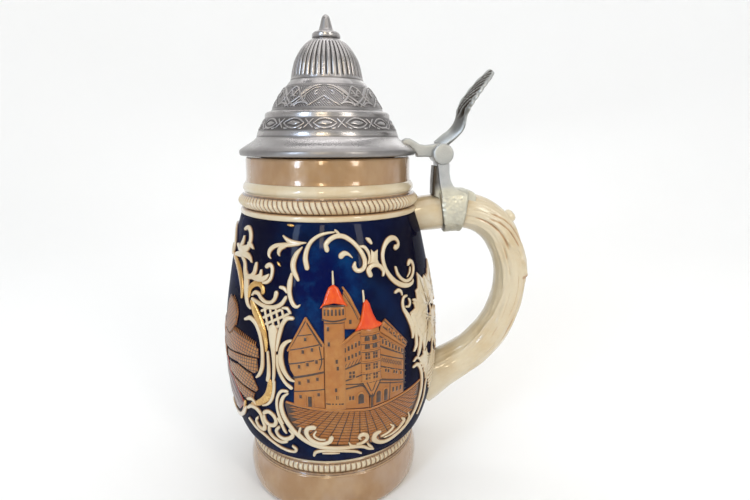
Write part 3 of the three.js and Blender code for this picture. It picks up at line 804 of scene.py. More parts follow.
# Each stroke is a list of (u, v, width) along its middle.
FRONT_SCROLLS = [
    # double arch over the towers
    [(-19.3, 104.3, 1.9), (-20.0, 107, 2.0), (-19.6, 110, 1.8), (-18, 112.9, 1.5), (-15, 115, 1.2),
     (-11.5, 116, 0.9), (-8.2, 116.3, 0.6)],
    [(-11.4, 110.5, 1.9), (-11.8, 112.1, 1.8), (-10.2, 113.8, 1.7), (-7.5, 114.9, 1.6), (-4.5, 114.8, 1.6),
     (-1.5, 113.3, 1.6), (1.3, 110.8, 1.6), (3.2, 108, 1.8), (3.9, 105.5, 1.9), (3.2, 103.5, 1.7),
     (1.5, 102.6, 1.5), (0.0, 103.0, 1.6), (-0.7, 104.2, 1.8), (-0.3, 105.5, 0.9)],
    [(-7.8, 116.9, 0.8), (-6.9, 116.2, 1.1), (-5.9, 115.2, 0.8)],
    [(2.4, 111.0, 0.8), (4.2, 110.6, 1.3), (5.6, 108.8, 1.3), (6.0, 106.8, 1.0), (5.3, 104.8, 0.7)],
    [(-5.7, 108.2, 2.1), (-4.6, 108.9, 1.9), (-3, 108.7, 1.2), (-1.2, 107.3, 0.4)],
    [(5.5, 113.5, 0.9), (6.5, 112.9, 1.7), (7.3, 111.9, 1.1)],
    # crescent under the little crown
    [(5.6, 100.9, 2.0), (5.1, 102.4, 2.0), (6.4, 103.7, 1.7), (8.4, 104.0, 1.5), (10.6, 103.1, 1.6),
     (11.8, 101.3, 1.5), (11.3, 100.0, 0.9)],
    # large C on the right
    [(19.6, 109.0, 2.0), (20.9, 109.3, 1.6), (21.5, 110.6, 1.3), (20.4, 112.1, 1.5), (18.3, 112.6, 1.9),
     (15.5, 111.8, 2.0), (13.2, 109.6, 1.7), (12.1, 106.5, 1.6), (12.5, 103, 1.6), (14.2, 99.6, 1.8),
     (17.2, 96.6, 1.9), (21, 94.7, 1.9), (24.5, 94.1, 1.6), (26.8, 94.6, 1.2), (27.7, 95.6, 0.5)],
    [(18, 101.7, 1.1), (18.6, 99.4, 1.3), (20.3, 97.3, 1.3), (23, 95.9, 1.3), (26, 96.2, 1.2),
     (28.2, 98, 1.3), (29.2, 100.3, 1.4), (28.6, 102.1, 1.6), (27, 102.6, 1.8), (25.9, 101.8, 1.3)],
    [(24.3, 97.3, 0.5), (26, 98.7, 0.7), (26.8, 100.4, 0.6)],
    # small scrolls beside the right-hand house
    [(16.5, 93.0, 1.2), (17.9, 93.4, 1.3), (19.2, 92.7, 1.1), (19.6, 91.4, 0.7)],
    [(22.0, 90.5, 0.9), (20.3, 90.2, 1.1), (19.4, 88.5, 1.2), (19.6, 86.2, 1.4), (21, 83.8, 1.9),
     (22.6, 81, 2.4), (23.6, 78, 2.2), (23.7, 75.5, 1.6), (23.3, 74, 0.9)],
    [(21.2, 86.5, 0.8), (22.6, 86.3, 0.9), (23.6, 87.5, 1.0), (23.3, 88.8, 1.0)],
    [(25.9, 88, 0.8), (27.4, 87.6, 1.1), (28.5, 85.8, 1.4), (28.3, 83.8, 1.6), (26.4, 82.6, 2.0),
     (24.4, 82.6, 2.0)],
    [(25.8, 86.8, 0.5), (27.0, 85.3, 0.8), (26.6, 83.8, 0.6)],
    [(24.3, 82, 2.6), (25.5, 79, 2.6), (26.5, 76, 2.4), (28.4, 73.2, 2.0), (30.3, 71, 1.3)],
    [(25.0, 77, 1.4), (25.6, 73, 1.6), (25.4, 70, 1.6), (24, 68.4, 0.9)],
    [(28.9, 73, 2.2), (28.3, 70, 2.2), (27.3, 67, 1.8), (26.4, 65.4, 0.9)],
    [(27.6, 82.2, 1.2), (31, 80.9, 1.0), (34, 81.6, 1.0), (36, 83.5, 0.7)],
    [(23.8, 64.2, 0.9), (25.4, 64.9, 1.1), (27.2, 63.8, 1.0), (28.2, 62.2, 0.7)],
    # right border down to the scrolls at the foot of the scene
    [(23.7, 61.8, 1.2), (25.8, 62, 1.5), (28, 59.8, 1.6), (29.3, 56.5, 1.6), (29.8, 52, 1.6),
     (29.5, 48, 1.6), (28.4, 44, 1.6), (26.6, 40.5, 1.6), (23.5, 37, 1.6), (19.5, 34.4, 1.8),
     (15, 32.7, 1.8), (11, 32.5, 1.8), (7.6, 34.0, 1.9), (5.9, 36.2, 2.2), (6.6, 38.2, 2.2),
     (8.0, 38.7, 1.5)],
    [(9.4, 36.2, 0.8), (12.4, 36.9, 1.0), (14.6, 38.8, 1.1), (13.3, 40.2, 0.6)],
    [(11, 34.9, 0.7), (15.6, 35.6, 1.0), (18.8, 37.4, 1.2), (20.4, 39.4, 1.5), (19.2, 40.7, 1.1)],
    [(22.4, 42.0, 0.4), (23.3, 39.6, 0.9), (22.0, 37.1, 0.9)],
    # middle curl and left border
    [(-0.8, 35.3, 1.0), (1.6, 35.6, 1.4), (3, 37.3, 1.5), (2.4, 39.0, 1.7), (0.6, 39.6, 1.7),
     (-0.5, 38.5, 1.2), (0.3, 37.5, 0.7)],
    [(-4.3, 36.4, 0.5), (-3.4, 35.0, 1.1), (-1.5, 34.4, 1.2)],
    [(-26.6, 57.8, 0.8), (-28.2, 56.4, 1.2), (-29.4, 53, 1.6), (-29, 49, 1.8), (-27.2, 45, 1.9),
     (-24.3, 41, 1.9), (-21, 38, 1.9), (-17, 35.8, 1.9), (-12, 34.7, 1.7), (-6, 34.2, 1.6),
     (-1, 33.9, 1.6), (2, 33.0, 1.4), (4, 31.5, 1.2), (6.5, 30.4, 0.8)],
    [(-17.6, 44.5, 2.0), (-19.5, 44.1, 1.9), (-20.4, 42.2, 1.8), (-19.6, 39.6, 1.7), (-17.4, 37.6, 1.8),
     (-14.4, 36.9, 1.8), (-11.8, 37.9, 1.8), (-11.1, 39.6, 1.8)],
    [(-16.8, 42.6, 0.7), (-17.6, 41, 0.9), (-16, 39.3, 0.9), (-13.6, 38.9, 0.7)],
    [(-22.6, 43.6, 0.9), (-23.2, 41.4, 0.9), (-22, 39.8, 0.6)],
    [(3.4, 34.4, 0.6), (4.4, 33.0, 1.1), (5.8, 31.6, 0.8)],
    # ornament under the scene
    [(-18.4, 30.6, 1.1), (-17.6, 32.2, 1.4), (-14.5, 33.2, 1.3), (-10, 33.1, 1.1), (-5, 32.3, 1.2),
     (-1, 31.2, 1.1), (1.2, 29.6, 0.7)],
    [(-14.8, 31.6, 0.5), (-11.5, 31.9, 0.9), (-8, 31.3, 0.4)],
    # left side of the arch
    [(-21.6, 111.0, 0.7), (-23.8, 108.6, 1.8), (-25, 105.5, 2.2), (-24.6, 103, 2.0), (-23.4, 101, 1.6),
     (-22.7, 99.9, 1.1)],
    [(-25.4, 101.6, 1.2), (-26, 98.6, 2.0), (-26, 95.6, 1.8), (-25.3, 93, 1.6), (-24, 90.9, 1.5),
     (-22.7, 90.4, 1.1), (-21.8, 91.1, 0.6)],
    [(-20, 112.7, 0.5), (-23.5, 112.5, 1.4), (-27, 112.9, 1.7), (-30.2, 114.7, 0.6)],
    [(-22.6, 112.2, 1.0), (-27, 111.8, 1.5), (-31, 111.5, 1.4), (-34, 110.8, 1.6), (-36.2, 109.1, 1.8),
     (-36.3, 107.4, 1.2), (-35.5, 106.5, 0.5)],
    [(-28.6, 111.3, 1.2), (-31.1, 110.3, 1.9), (-31.7, 108.8, 1.5), (-31.3, 107.8, 0.6)],
]

CROWN = [(5.6, 104.6), (6.6, 107), (7.0, 109.7), (8.2, 108.5), (10.1, 109.4), (9.6, 105.8), (10.3, 104.0),
         (8, 104.7)]

# ---------------------------------------------------------------- relief: the column left of the scene

COLUMN_SCROLLS = [
    # palmette at the top
    [(-54.3, 115.2, 1.5), (-52.5, 115.8, 1.6), (-50.2, 115.1, 1.9), (-48.8, 113, 2.0), (-48.9, 110.4, 2.2),
     (-50.4, 108.5, 2.6), (-53, 107.6, 3.0), (-56.5, 107.2, 2.6), (-60, 108.2, 1.6)],
    [(-49.4, 110.2, 1.6), (-47.4, 109.6, 1.6), (-46.1, 108.9, 0.8)],
    [(-56.2, 108.6, 2.4), (-54.7, 110.6, 2.2), (-54.3, 111.9, 1.3)],
    [(-61, 104.6, 1.6), (-56, 105.4, 2.4), (-52, 105.9, 2.4), (-49, 105.7, 2.3), (-46.8, 104.8, 1.6),
     (-46.0, 104.0, 0.8)],
    [(-53.2, 104.8, 2.0), (-50.8, 103, 1.8), (-49.9, 100.4, 2.2), (-48.4, 97.8, 3.0), (-47.6, 94.5, 3.0),
     (-46.8, 91, 2.4), (-45.6, 88.4, 1.7), (-43.9, 87.3, 1.1)],
    [(-48, 98.3, 1.6), (-45.4, 98.6, 2.0), (-43.5, 100.3, 2.0), (-43, 102.4, 2.0), (-42.8, 103.5, 1.5)],
    [(-44, 98.6, 1.8), (-41.4, 98.7, 2.4), (-39.9, 99.8, 2.0), (-39.6, 101.5, 1.1)],
    [(-41, 98.3, 1.8), (-38.6, 98.7, 2.0), (-36.6, 99.7, 1.6), (-35.8, 100.5, 0.8)],
    [(-36.7, 103.6, 1.8), (-35.5, 104.2, 1.6), (-34.3, 103.4, 1.5), (-34, 101.6, 1.4), (-34.6, 99.3, 1.4),
     (-36.2, 97.9, 1.3), (-38, 97.5, 0.9)],
    # scrolls over the lattice
    [(-43.4, 92.2, 0.8), (-42, 93.4, 1.4), (-40, 93.2, 1.6), (-38.4, 91.8, 1.5), (-36, 90.8, 1.3),
     (-33.5, 91.1, 1.3), (-32, 92.6, 1.5), (-31.5, 94.4, 1.8)],
    [(-43, 90.8, 1.2), (-40, 90.0, 1.5), (-36, 89.2, 1.5), (-32, 89.5, 1.5), (-29, 91, 1.6),
     (-27.4, 93.3, 1.3)],
    [(-29.8, 96.8, 1.1), (-28.2, 96.5, 1.4), (-27.1, 95.4, 1.0)],
    [(-28.5, 89.6, 0.8), (-26.6, 89.6, 1.2), (-25.4, 88.2, 1.0)],
    # stem and its side strokes
    [(-32.2, 81, 4.0), (-32.2, 77.4, 2.9), (-31.8, 73, 1.9), (-31.6, 68, 1.3), (-31.8, 64, 1.2),
     (-32.2, 61.6, 0.8)],
    [(-46.3, 82.6, 1.1), (-43.5, 83.6, 1.7), (-40.5, 82.3, 1.7), (-38.2, 79, 1.5), (-37, 75, 1.4),
     (-36.6, 70, 1.5), (-37, 66, 1.6), (-38.6, 62.8, 1.3), (-39.9, 61.5, 0.7)],
    [(-34.2, 72.6, 1.0), (-33.9, 68, 1.3), (-34, 64, 1.6), (-34.5, 61.9, 1.6)],
    [(-24.5, 86.3, 1.4), (-26.5, 86.1, 1.6), (-28.2, 84, 1.6), (-29.3, 80.5, 1.6), (-30, 77, 1.3),
     (-30.4, 74, 0.8)],
    [(-25, 78.3, 0.9), (-26.6, 77.5, 1.4), (-28.2, 75.6, 1.8), (-28.9, 72, 2.0), (-28.4, 68.6, 2.0),
     (-27, 65.6, 1.6), (-25.3, 63.7, 1.3), (-23.9, 63.2, 0.7)],
    [(-30.2, 72, 1.0), (-30, 68, 1.2), (-28.8, 64.6, 1.3), (-27, 61.9, 1.3), (-25.2, 60.5, 1.5)],
    [(-31.8, 61.6, 1.2), (-32.2, 57.6, 1.2), (-33.4, 54, 1.2), (-35.4, 51.6, 1.0), (-37.8, 50.4, 0.7)],
    [(-26.8, 58.8, 1.1), (-28.8, 58.6, 1.2), (-30.6, 56.0, 1.1), (-31.2, 52, 1.1), (-30.6, 47.6, 1.2),
     (-29.4, 44.8, 0.8)],
    # rococo scrolls at the bottom
    [(-46.0, 50.4, 1.1), (-43.6, 51.2, 1.4), (-41.4, 50.0, 0.8)],
    [(-37.4, 47.4, 1.6), (-35.4, 48.4, 1.6), (-33.2, 47.2, 1.6), (-32.4, 45, 1.6), (-33.6, 42.8, 1.6),
     (-36.2, 42.3, 1.6), (-37.8, 43.9, 1.5), (-37.8, 45.8, 1.2)],
    [(-46.8, 46.2, 1.2), (-44.6, 47.7, 1.6), (-41.6, 47.7, 1.8), (-39.6, 46.0, 1.6), (-39.0, 43.2, 1.8),
     (-38.6, 40.6, 1.8), (-39.8, 38.8, 1.8), (-42.2, 39.4, 1.6), (-42.9, 41.8, 1.3), (-41.7, 43.6, 0.9)],
    [(-36.2, 41.2, 1.3), (-36.6, 38.6, 1.6), (-34.8, 36.2, 1.6), (-32, 35.2, 1.6), (-29.4, 36, 1.3)],
    [(-31.6, 42.4, 1.2), (-33, 40.4, 1.4), (-32.2, 38, 1.4), (-29.8, 37.3, 1.6), (-26.9, 38.6, 1.7),
     (-25.9, 40.5, 1.4), (-27, 42.1, 0.9)],
    [(-31.2, 46.4, 1.0), (-30, 44, 1.2), (-29.2, 41.6, 1.2), (-28.6, 40.5, 0.7)],
    [(-26.7, 34.1, 1.1), (-25.8, 33, 1.4), (-26.2, 31.6, 1.2), (-28.5, 31, 1.2), (-32, 31.6, 1.2),
     (-36, 33.4, 1.3), (-40, 36.0, 1.4), (-44, 37.6, 1.4), (-47.6, 40.6, 1.2)],
]

GOLD_STROKES = [
    [(-66, 104.2, 1.2), (-60, 102.4, 2.0), (-55.4, 99.6, 2.3), (-52.2, 96, 2.3), (-50.6, 92.8, 1.9),
     (-50.2, 90, 0.9)],
    [(-45.6, 91.5, 1.4), (-45.3, 94.3, 1.8), (-42.8, 96.3, 1.8), (-40, 96.6, 1.6), (-38.3, 95.6, 1.6),
     (-37.9, 94.2, 1.5)],
    [(-43.2, 89.6, 1.8), (-41.5, 87, 2.7), (-39, 84, 2.7), (-37, 81.2, 2.1), (-35.8, 78.4, 1.6),
     (-35.1, 75.4, 1.3),
     (-35, 73, 0.8)],
    [(-33.6, 61.4, 1.5), (-33.9, 58.4, 2.2), (-35.1, 55.2, 2.5), (-37.6, 52.4, 2.3), (-40.6, 50.3, 1.8),
     (-43.6, 49.2, 1.0)],
    [(-31.9, 105.3, 0.5), (-31.3, 104.8, 0.9), (-30.7, 104.2, 0.4)],
    [(-28.6, 118.5, 0.5), (-27.0, 118.4, 0.8), (-25.8, 118.3, 0.4)],
    [(-62, 36, 1.0), (-56, 38.5, 1.4), (-51, 43, 1.5), (-48.6, 48, 1.0)],
]

LATTICE = [(-38.3, 88.2), (-34, 88.4), (-29.5, 88.8), (-26.2, 87.6), (-28.6, 85), (-30.2, 81.5),
           (-34.4, 81.2), (-36.6, 84.8)]


LATTICE_ANGLES = (27, -72)
SCROLL_WIDENING = 1.16
GOLD_WIDENING = 1.35
SCROLL_HEIGHT = 1.0


def both_sides(*kinds):
    """Mirrors each mesh to the far side and makes its piece: mesh, name, material and slot."""
    for mesh, name, material, slot in kinds:
        mesh.mirror()
        mesh.piece(name, material, slot, "mug")


def widened(path, factor):
    """The path with its widths multiplied."""
    return [(u, v, width * factor) for u, v, width in path]


def scroll_relief():
    """All the cream scrolls on both sides."""
    mesh = Mesh()
    for path in FRONT_SCROLLS + COLUMN_SCROLLS:
        stroke(mesh, belly, widened(path, SCROLL_WIDENING), SCROLL_HEIGHT)
    slab(mesh, belly, CROWN, 0.8)
    for angle in LATTICE_ANGLES:
        hatch(mesh, belly, LATTICE, angle, 2.5, 1.15, 0.62)
    both_sides((mesh, "scroll_relief", IVORY, "ivory_glaze"))


def gold_relief():
    """The strokes picked out in gold lustre."""
    mesh = Mesh()
    for path in GOLD_STROKES:
        stroke(mesh, belly, widened(path, GOLD_WIDENING), 0.85)
    both_sides((mesh, "gold_relief", GOLD, "gold_lustre"))

# ---------------------------------------------------------------- relief: the town in the front panel

TOWER_U, TOWER_HALF = -9.2, 3.7          # round tower
ORIEL_U, ORIEL_HALF = 3.9, 3.7           # bay turret at the corner


def rounded(centre, half, flat, bulge):
    """A height that swells like a round tower about a centre line."""
    def height(u, v):
        share = min(abs(u - centre) / half, 1.0)
        return flat + bulge * math.sqrt(1 - share * share)
    return height


GABLE_HEIGHT = 0.55
BACK_HEIGHT = 0.35
MIDDLE_HEIGHT = 0.45
CORNER_HEIGHT = 0.7
RIGHT_HEIGHT = 0.5
RIGHT_ROOF_HEIGHT = 0.85
tower_height = rounded(TOWER_U, TOWER_HALF, 0.45, 0.55)
oriel_height = rounded(ORIEL_U, ORIEL_HALF, 0.5, 0.5)

GABLE = [(-24.4, 53.8), (-13.0, 52.9), (-13.0, 77.2), (-16.4, 81.6), (-19.4, 86.4), (-22.6, 80.8),
         (-25.7, 74.8), (-26.0, 71), (-25.2, 67.4), (-23.7, 64.8)]
TOWER = [(-12.9, 52.6), (-5.5, 52.0), (-5.5, 85.6), (-4.9, 86.4), (-4.9, 91.2), (-13.5, 91.2),
         (-13.5, 86.4),
         (-12.9, 85.6)]
BACK_GABLE = [(-5.6, 82.5), (0.4, 82.0), (0.4, 86.0), (-2.3, 91.8), (-5.2, 96.9), (-6.2, 93)]
BACK_EAVES = [(-5.6, 97.2, 0.8), (-3.6, 94.2, 1.1), (-1.5, 90, 1.0), (0.3, 86.4, 0.9)]
MIDDLE_EAVES = [(-8.4, 76.4, 0.9), (-4.6, 78.8, 1.2), (-1.4, 81.0, 1.2), (0.2, 81.3, 0.8)]
MIDDLE = [(-6.4, 52.2), (3.4, 51.2), (3.0, 56.6), (0.4, 61.8), (0.4, 80.6), (-1.6, 80.6), (-7.2, 77.0),
          (-6.9, 68)]
ORIEL = [(0.2, 62.2), (3.4, 56.4), (4.6, 56.4), (7.6, 62.2), (7.6, 81.9), (0.2, 81.9)]
CORNER = [(3.4, 51.2), (4.6, 51.2), (4.6, 56.8), (3.4, 56.8)]
RIGHT = [(4.6, 51.3), (18.4, 53.2), (18.7, 71.6), (7.5, 80.2), (7.5, 62.0), (4.6, 56.6)]
RIGHT_ROOF = [(7.5, 80.2), (18.9, 71.3), (20.0, 73.6), (10.4, 84.4), (8.8, 83.2)]
TOWER_ROOF = [(-14.3, 90.1), (-12.8, 91.2), (-9.2, 91.9), (-5.6, 91.2), (-4.0, 90.6), (-5.3, 92.6),
              (-6.3, 95),
              (-7.4, 97.3), (-9.2, 98.5), (-11, 97.4), (-12.1, 95), (-13, 92.2)]
ORIEL_ROOF = [(-1.7, 81.5), (0.6, 82.0), (4.0, 81.5), (7.8, 82.1), (9.2, 82.9), (6.6, 84.5), (5.2, 87.4),
              (4.3, 90.8), (3.2, 92.3), (2.0, 91.4), (1.2, 88), (0.3, 84.6)]
tower_roof_height = rounded(TOWER_U, 5.4, 0.75, 0.65)
oriel_roof_height = rounded(3.4, 5.6, 0.8, 0.6)

# Lines drawn on the walls: u, v and width.
GABLE_LINES = [
    [(-24.9, 74.9, 0.3), (-13.2, 77.7, 0.3)], [(-22.4, 80.2, 0.25), (-17.4, 81.0, 0.25)],
    [(-25.6, 69.6, 0.35), (-13.2, 72.2, 0.3)], [(-23.9, 64.6, 0.55), (-13.2, 67.2, 0.5)],
    [(-24.0, 59.2, 0.3), (-13.2, 60.6, 0.3)], [(-25.0, 76.0, 0.35), (-19.7, 85.4, 0.4)],
    [(-18.9, 84.8, 0.35), (-13.8, 76.8, 0.4)], [(-14.6, 76.6, 0.25), (-13.8, 71, 0.3), (-14.6, 68.2, 0.25)],
]
GABLE_WINDOWS = [(-19.5, 79.2), (-20.4, 74.6), (-17.1, 75.5), (-21.8, 69.0), (-18.8, 70.0), (-15.6, 71.1),
                 (-21.8, 62.8), (-18.6, 63.8), (-15.4, 64.6), (-21.6, 57.4), (-15.1, 58.6)]
TOWER_WINDOWS = [(-11.4, 83.0), (-11.2, 77.6), (-8.6, 71.2), (-8.3, 68.6), (-9.0, 60.2), (-8.6, 57.2)]
TOWER_LINES = [
    [(-13.4, 86.2, 0.4), (-9.2, 85.6, 0.4), (-5.0, 86.2, 0.4)], [(-13.2, 90.9, 0.5), (-5.2, 90.9, 0.5)],
    [(-12.4, 54.9, 0.35), (-6.6, 54.5, 0.35)], [(-12.8, 84.9, 0.25), (-5.6, 84.9, 0.25)],
]
MIDDLE_LINES = [
    [(-6.6, 74.2, 0.3), (0.2, 76.8, 0.3)], [(-6.8, 70.6, 0.35), (0.2, 73.0, 0.35)],
    [(-6.6, 67.6, 0.4), (0.2, 69.8, 0.4)], [(-5.6, 63.4, 0.35), (0.3, 65.0, 0.35)],
    [(-5.6, 62.0, 0.3), (0.4, 61.4, 0.35)], [(-5.4, 60.3, 0.4), (0.6, 60.6, 0.4), (2.6, 57.8, 0.4)],
    [(-5.9, 52.6, 0.3), (-5.9, 67.4, 0.3)], [(-7.0, 76.0, 0.3), (-6.7, 68, 0.3)],
]
RIGHT_LINES = [
    [(7.6, 78.3, 0.3), (18.6, 70.2, 0.3)], [(7.6, 74.6, 0.45), (18.6, 68.6, 0.4)],
    [(7.6, 71.4, 0.3), (18.6, 66.6, 0.3)], [(7.6, 66.9, 0.35), (18.4, 62.2, 0.35)],
    [(7.6, 61.7, 0.5), (18.3, 58.4, 0.45)], [(7.4, 60.4, 0.3), (18.3, 57.4, 0.3)],
    [(4.7, 55.8, 0.35), (7.4, 61.4, 0.35)], [(18.0, 53.6, 0.3), (18.1, 70.2, 0.3)],
    [(11.4, 52.6, 0.25), (11.5, 59.6, 0.25)],
]
RIGHT_UPPER_WINDOWS = [(9.6, 64.9), (10.7, 64.4), (13.2, 63.4), (14.3, 62.9), (16.4, 62.0)]
RIGHT_LOWER_WINDOWS = [(12.9, 56.2), (14.6, 56.0), (16.3, 55.9)]
ROOF_LINES = [[(9.1, 81.6, 0.35), (19.3, 72.2, 0.35)], [(9.8, 83.6, 0.3), (19.8, 73.2, 0.3)]]
CORNER_LINES = [[(0.5, 61.7, 0.4), (3.7, 55.6, 0.4)], [(7.3, 61.7, 0.4), (4.3, 55.6, 0.4)],
                [(2.2, 61.6, 0.35), (3.9, 58.0, 0.35), (5.6, 61.6, 0.35)], [(4.0, 51.4, 0.5),
                 (4.0, 57, 0.4)]]
SHORT_SPIRE = [(2.3, 91.6, 1.0), (2.2, 95.4, 0.8)]
TALL_SPIRE = [(-9.2, 97.8, 1.0), (-9.3, 102.8, 0.75)]

KERB = [(-27.2, 54.2, 1.0), (-20, 53.0, 1.1), (-11, 52.0, 1.1), (-4, 51.2, 1.1), (4, 50.4, 1.1),
        (10, 51.2, 1.1),
        (15, 52, 1.0), (22, 52.9, 1.0), (28.4, 54.0, 0.8)]
PAVEMENT = [(-28.2, 53.8), (-11, 52), (4, 50.5), (15, 52), (28.6, 53.8), (29, 48), (26.5, 41.5), (22.5, 37),
            (15, 34), (8, 33.4), (0, 34.4), (-12, 35.4), (-17, 36.6), (-22.5, 40), (-27, 46)]
WINDOW_FRAME = 0.7                       # how much wider and taller a frame is than its pane
LINE_WIDENING = 1.55
FINE_STEP = 1.2                          # spacing of the points along short lines
VANISHING = (-0.8, 61.0)                 # the joints of the paving radiate from here
HORIZON = 50.4                           # height of the kerb at the corner of the square
PAVING_LOW = 32.0
STONE_DEPTH = 0.85                       # height of the farthest row of stones
STONE_GROWTH = 1.055                     # each nearer row is this much taller
STONE_SPREAD = 0.165                     # sideways step of the joints per unit below the vanishing point


def lifted(height, extra):
    """A height raised by a little more."""
    if callable(height):
        return lambda u, v: height(u, v) + extra
    return height + extra


def pane(panes, corners, base, rise=0.10):
    """A dark pane or doorway on a wall."""
    pad(panes, belly, corners, rise, 0.05, base)


def windows(walls, panes, height, width, tall, places):
    """Dark panes in light frames on a wall."""
    for u, v in places:
        frame_size = (width + WINDOW_FRAME, tall + WINDOW_FRAME)
        pad(walls, belly, rectangle(u, v, *frame_size), 0.12, 0.08, height, 0.5)
        pad(panes, belly, rectangle(u, v, width, tall), 0.10, 0.05, lifted(height, 0.07), 0.0)


def lines(mesh, paths, height):
    """Brown lines drawn on a wall."""
    for path in paths:
        stroke(mesh, belly, widened(path, LINE_WIDENING), 0.18, lifted(height, -0.02), FINE_STEP)


def gable_house(walls, panes):
    """The gabled house on the left."""
    slab(walls, belly, GABLE, GABLE_HEIGHT)
    lines(panes, GABLE_LINES, GABLE_HEIGHT)
    windows(walls, panes, GABLE_HEIGHT, 0.9, 1.3, GABLE_WINDOWS)
    for u in (-19.7, -17.0):
        stroke(walls, belly, [(u, 53.6, 0.5), (u, 57.8, 0.5)], 0.25, GABLE_HEIGHT, FINE_STEP)
    pane(panes, rectangle(-18.3, 55.6, 1.3, 4.0), GABLE_HEIGHT, 0.12)
    for path in ([(-26.0, 74.6, 0.8), (-19.6, 86.6, 0.9)], [(-19.3, 86.6, 0.9), (-12.9, 77.0, 0.8)]):
        stroke(walls, belly, path, 0.35, GABLE_HEIGHT - 0.1, FINE_STEP)


def round_tower(walls, panes):
    """The round tower with its row of arches under the roof."""
    slab(walls, belly, TOWER, tower_height, 0.2, grid=1.2)
    lines(panes, TOWER_LINES, tower_height)
    windows(walls, panes, tower_height, 0.8, 1.5, TOWER_WINDOWS)
    for k in range(6):
        pane(panes, arch(-12.6 + k * 1.36, 88.7, 0.7, 2.2), tower_height)


def middle_house(walls, panes):
    """The house between the two towers, with a gable behind it."""
    slab(walls, belly, BACK_GABLE, BACK_HEIGHT)
    stroke(walls, belly, BACK_EAVES, 0.4, BACK_HEIGHT - 0.05)
    stroke(panes, belly, [(-5.4, 95, 0.35), (-2.4, 90, 0.35), (-0.4, 85.6, 0.35)], 0.16, BACK_HEIGHT - 0.02)
    pane(panes, rectangle(-3.3, 85.0, 0.9, 1.5), BACK_HEIGHT)
    slab(walls, belly, MIDDLE, MIDDLE_HEIGHT, top_stain=0.14)
    stroke(walls, belly, MIDDLE_EAVES, 0.55, MIDDLE_HEIGHT - 0.05)
    lines(panes, MIDDLE_LINES, MIDDLE_HEIGHT)
    for k in range(5):
        place = -5.6 + 1.3 * k
        windows(walls, panes, MIDDLE_HEIGHT, 0.7, 1.7, [(place, 75.0 + 0.5 * k)])
        windows(walls, panes, MIDDLE_HEIGHT, 0.7, 1.5, [(place, 71.6 + 0.45 * k)])
        brace = [(place - 0.5, 68.0 + 0.45 * k, 0.25), (place + 0.5, 69.8 + 0.45 * k, 0.25)]
        stroke(panes, belly, brace, 0.14, MIDDLE_HEIGHT, FINE_STEP)
    cross_window = [(u, v) for v in (66.3, 64.9) for u in (-3.9, -2.7)]
    windows(walls, panes, MIDDLE_HEIGHT, 0.85, 1.1, cross_window)
    windows(walls, panes, MIDDLE_HEIGHT, 0.75, 1.6, [(-4.1, 56.4), (-3.0, 56.4)])
    pad(walls, belly, arch(-0.1, 56.0, 3.2, 5.0), 0.22, 0.1, MIDDLE_HEIGHT, 0.6)
    pane(panes, arch(-0.1, 55.7, 2.1, 4.0), MIDDLE_HEIGHT + 0.2)


def oriel(walls, panes):
    """The bay turret at the corner, with a band under each storey."""
    slab(walls, belly, CORNER, CORNER_HEIGHT, 0.15)
    slab(walls, belly, ORIEL, oriel_height, 0.2, grid=1.2)
    for v in (80.0, 76.9, 74.0, 69.9, 65.7, 62.2):
        stroke(walls, belly, [(0.2, v, 0.6), (3.9, v - 0.15, 0.6), (7.6, v, 0.6)], 0.28, oriel_height, 1.0)
        shadow = [(0.3, v - 0.5, 0.25), (3.9, v - 0.65, 0.25), (7.5, v - 0.5, 0.25)]
        stroke(panes, belly, shadow, 0.12, oriel_height, 1.0)
    for side in (-1.45, 1.45):
        for v in (78.5, 75.6):
            pane(panes, arch(ORIEL_U + side, v, 1.9, 1.9), oriel_height, 0.12)
        for v in (72.0, 67.8, 64.0):
            for part in (-0.5, 0.5):
                for row in (-0.62, 0.62):
                    light = rectangle(ORIEL_U + side + part, v + row, 0.78, 1.0)
                    pane(panes, light, oriel_height, 0.12)
    lines(panes, CORNER_LINES, CORNER_HEIGHT)


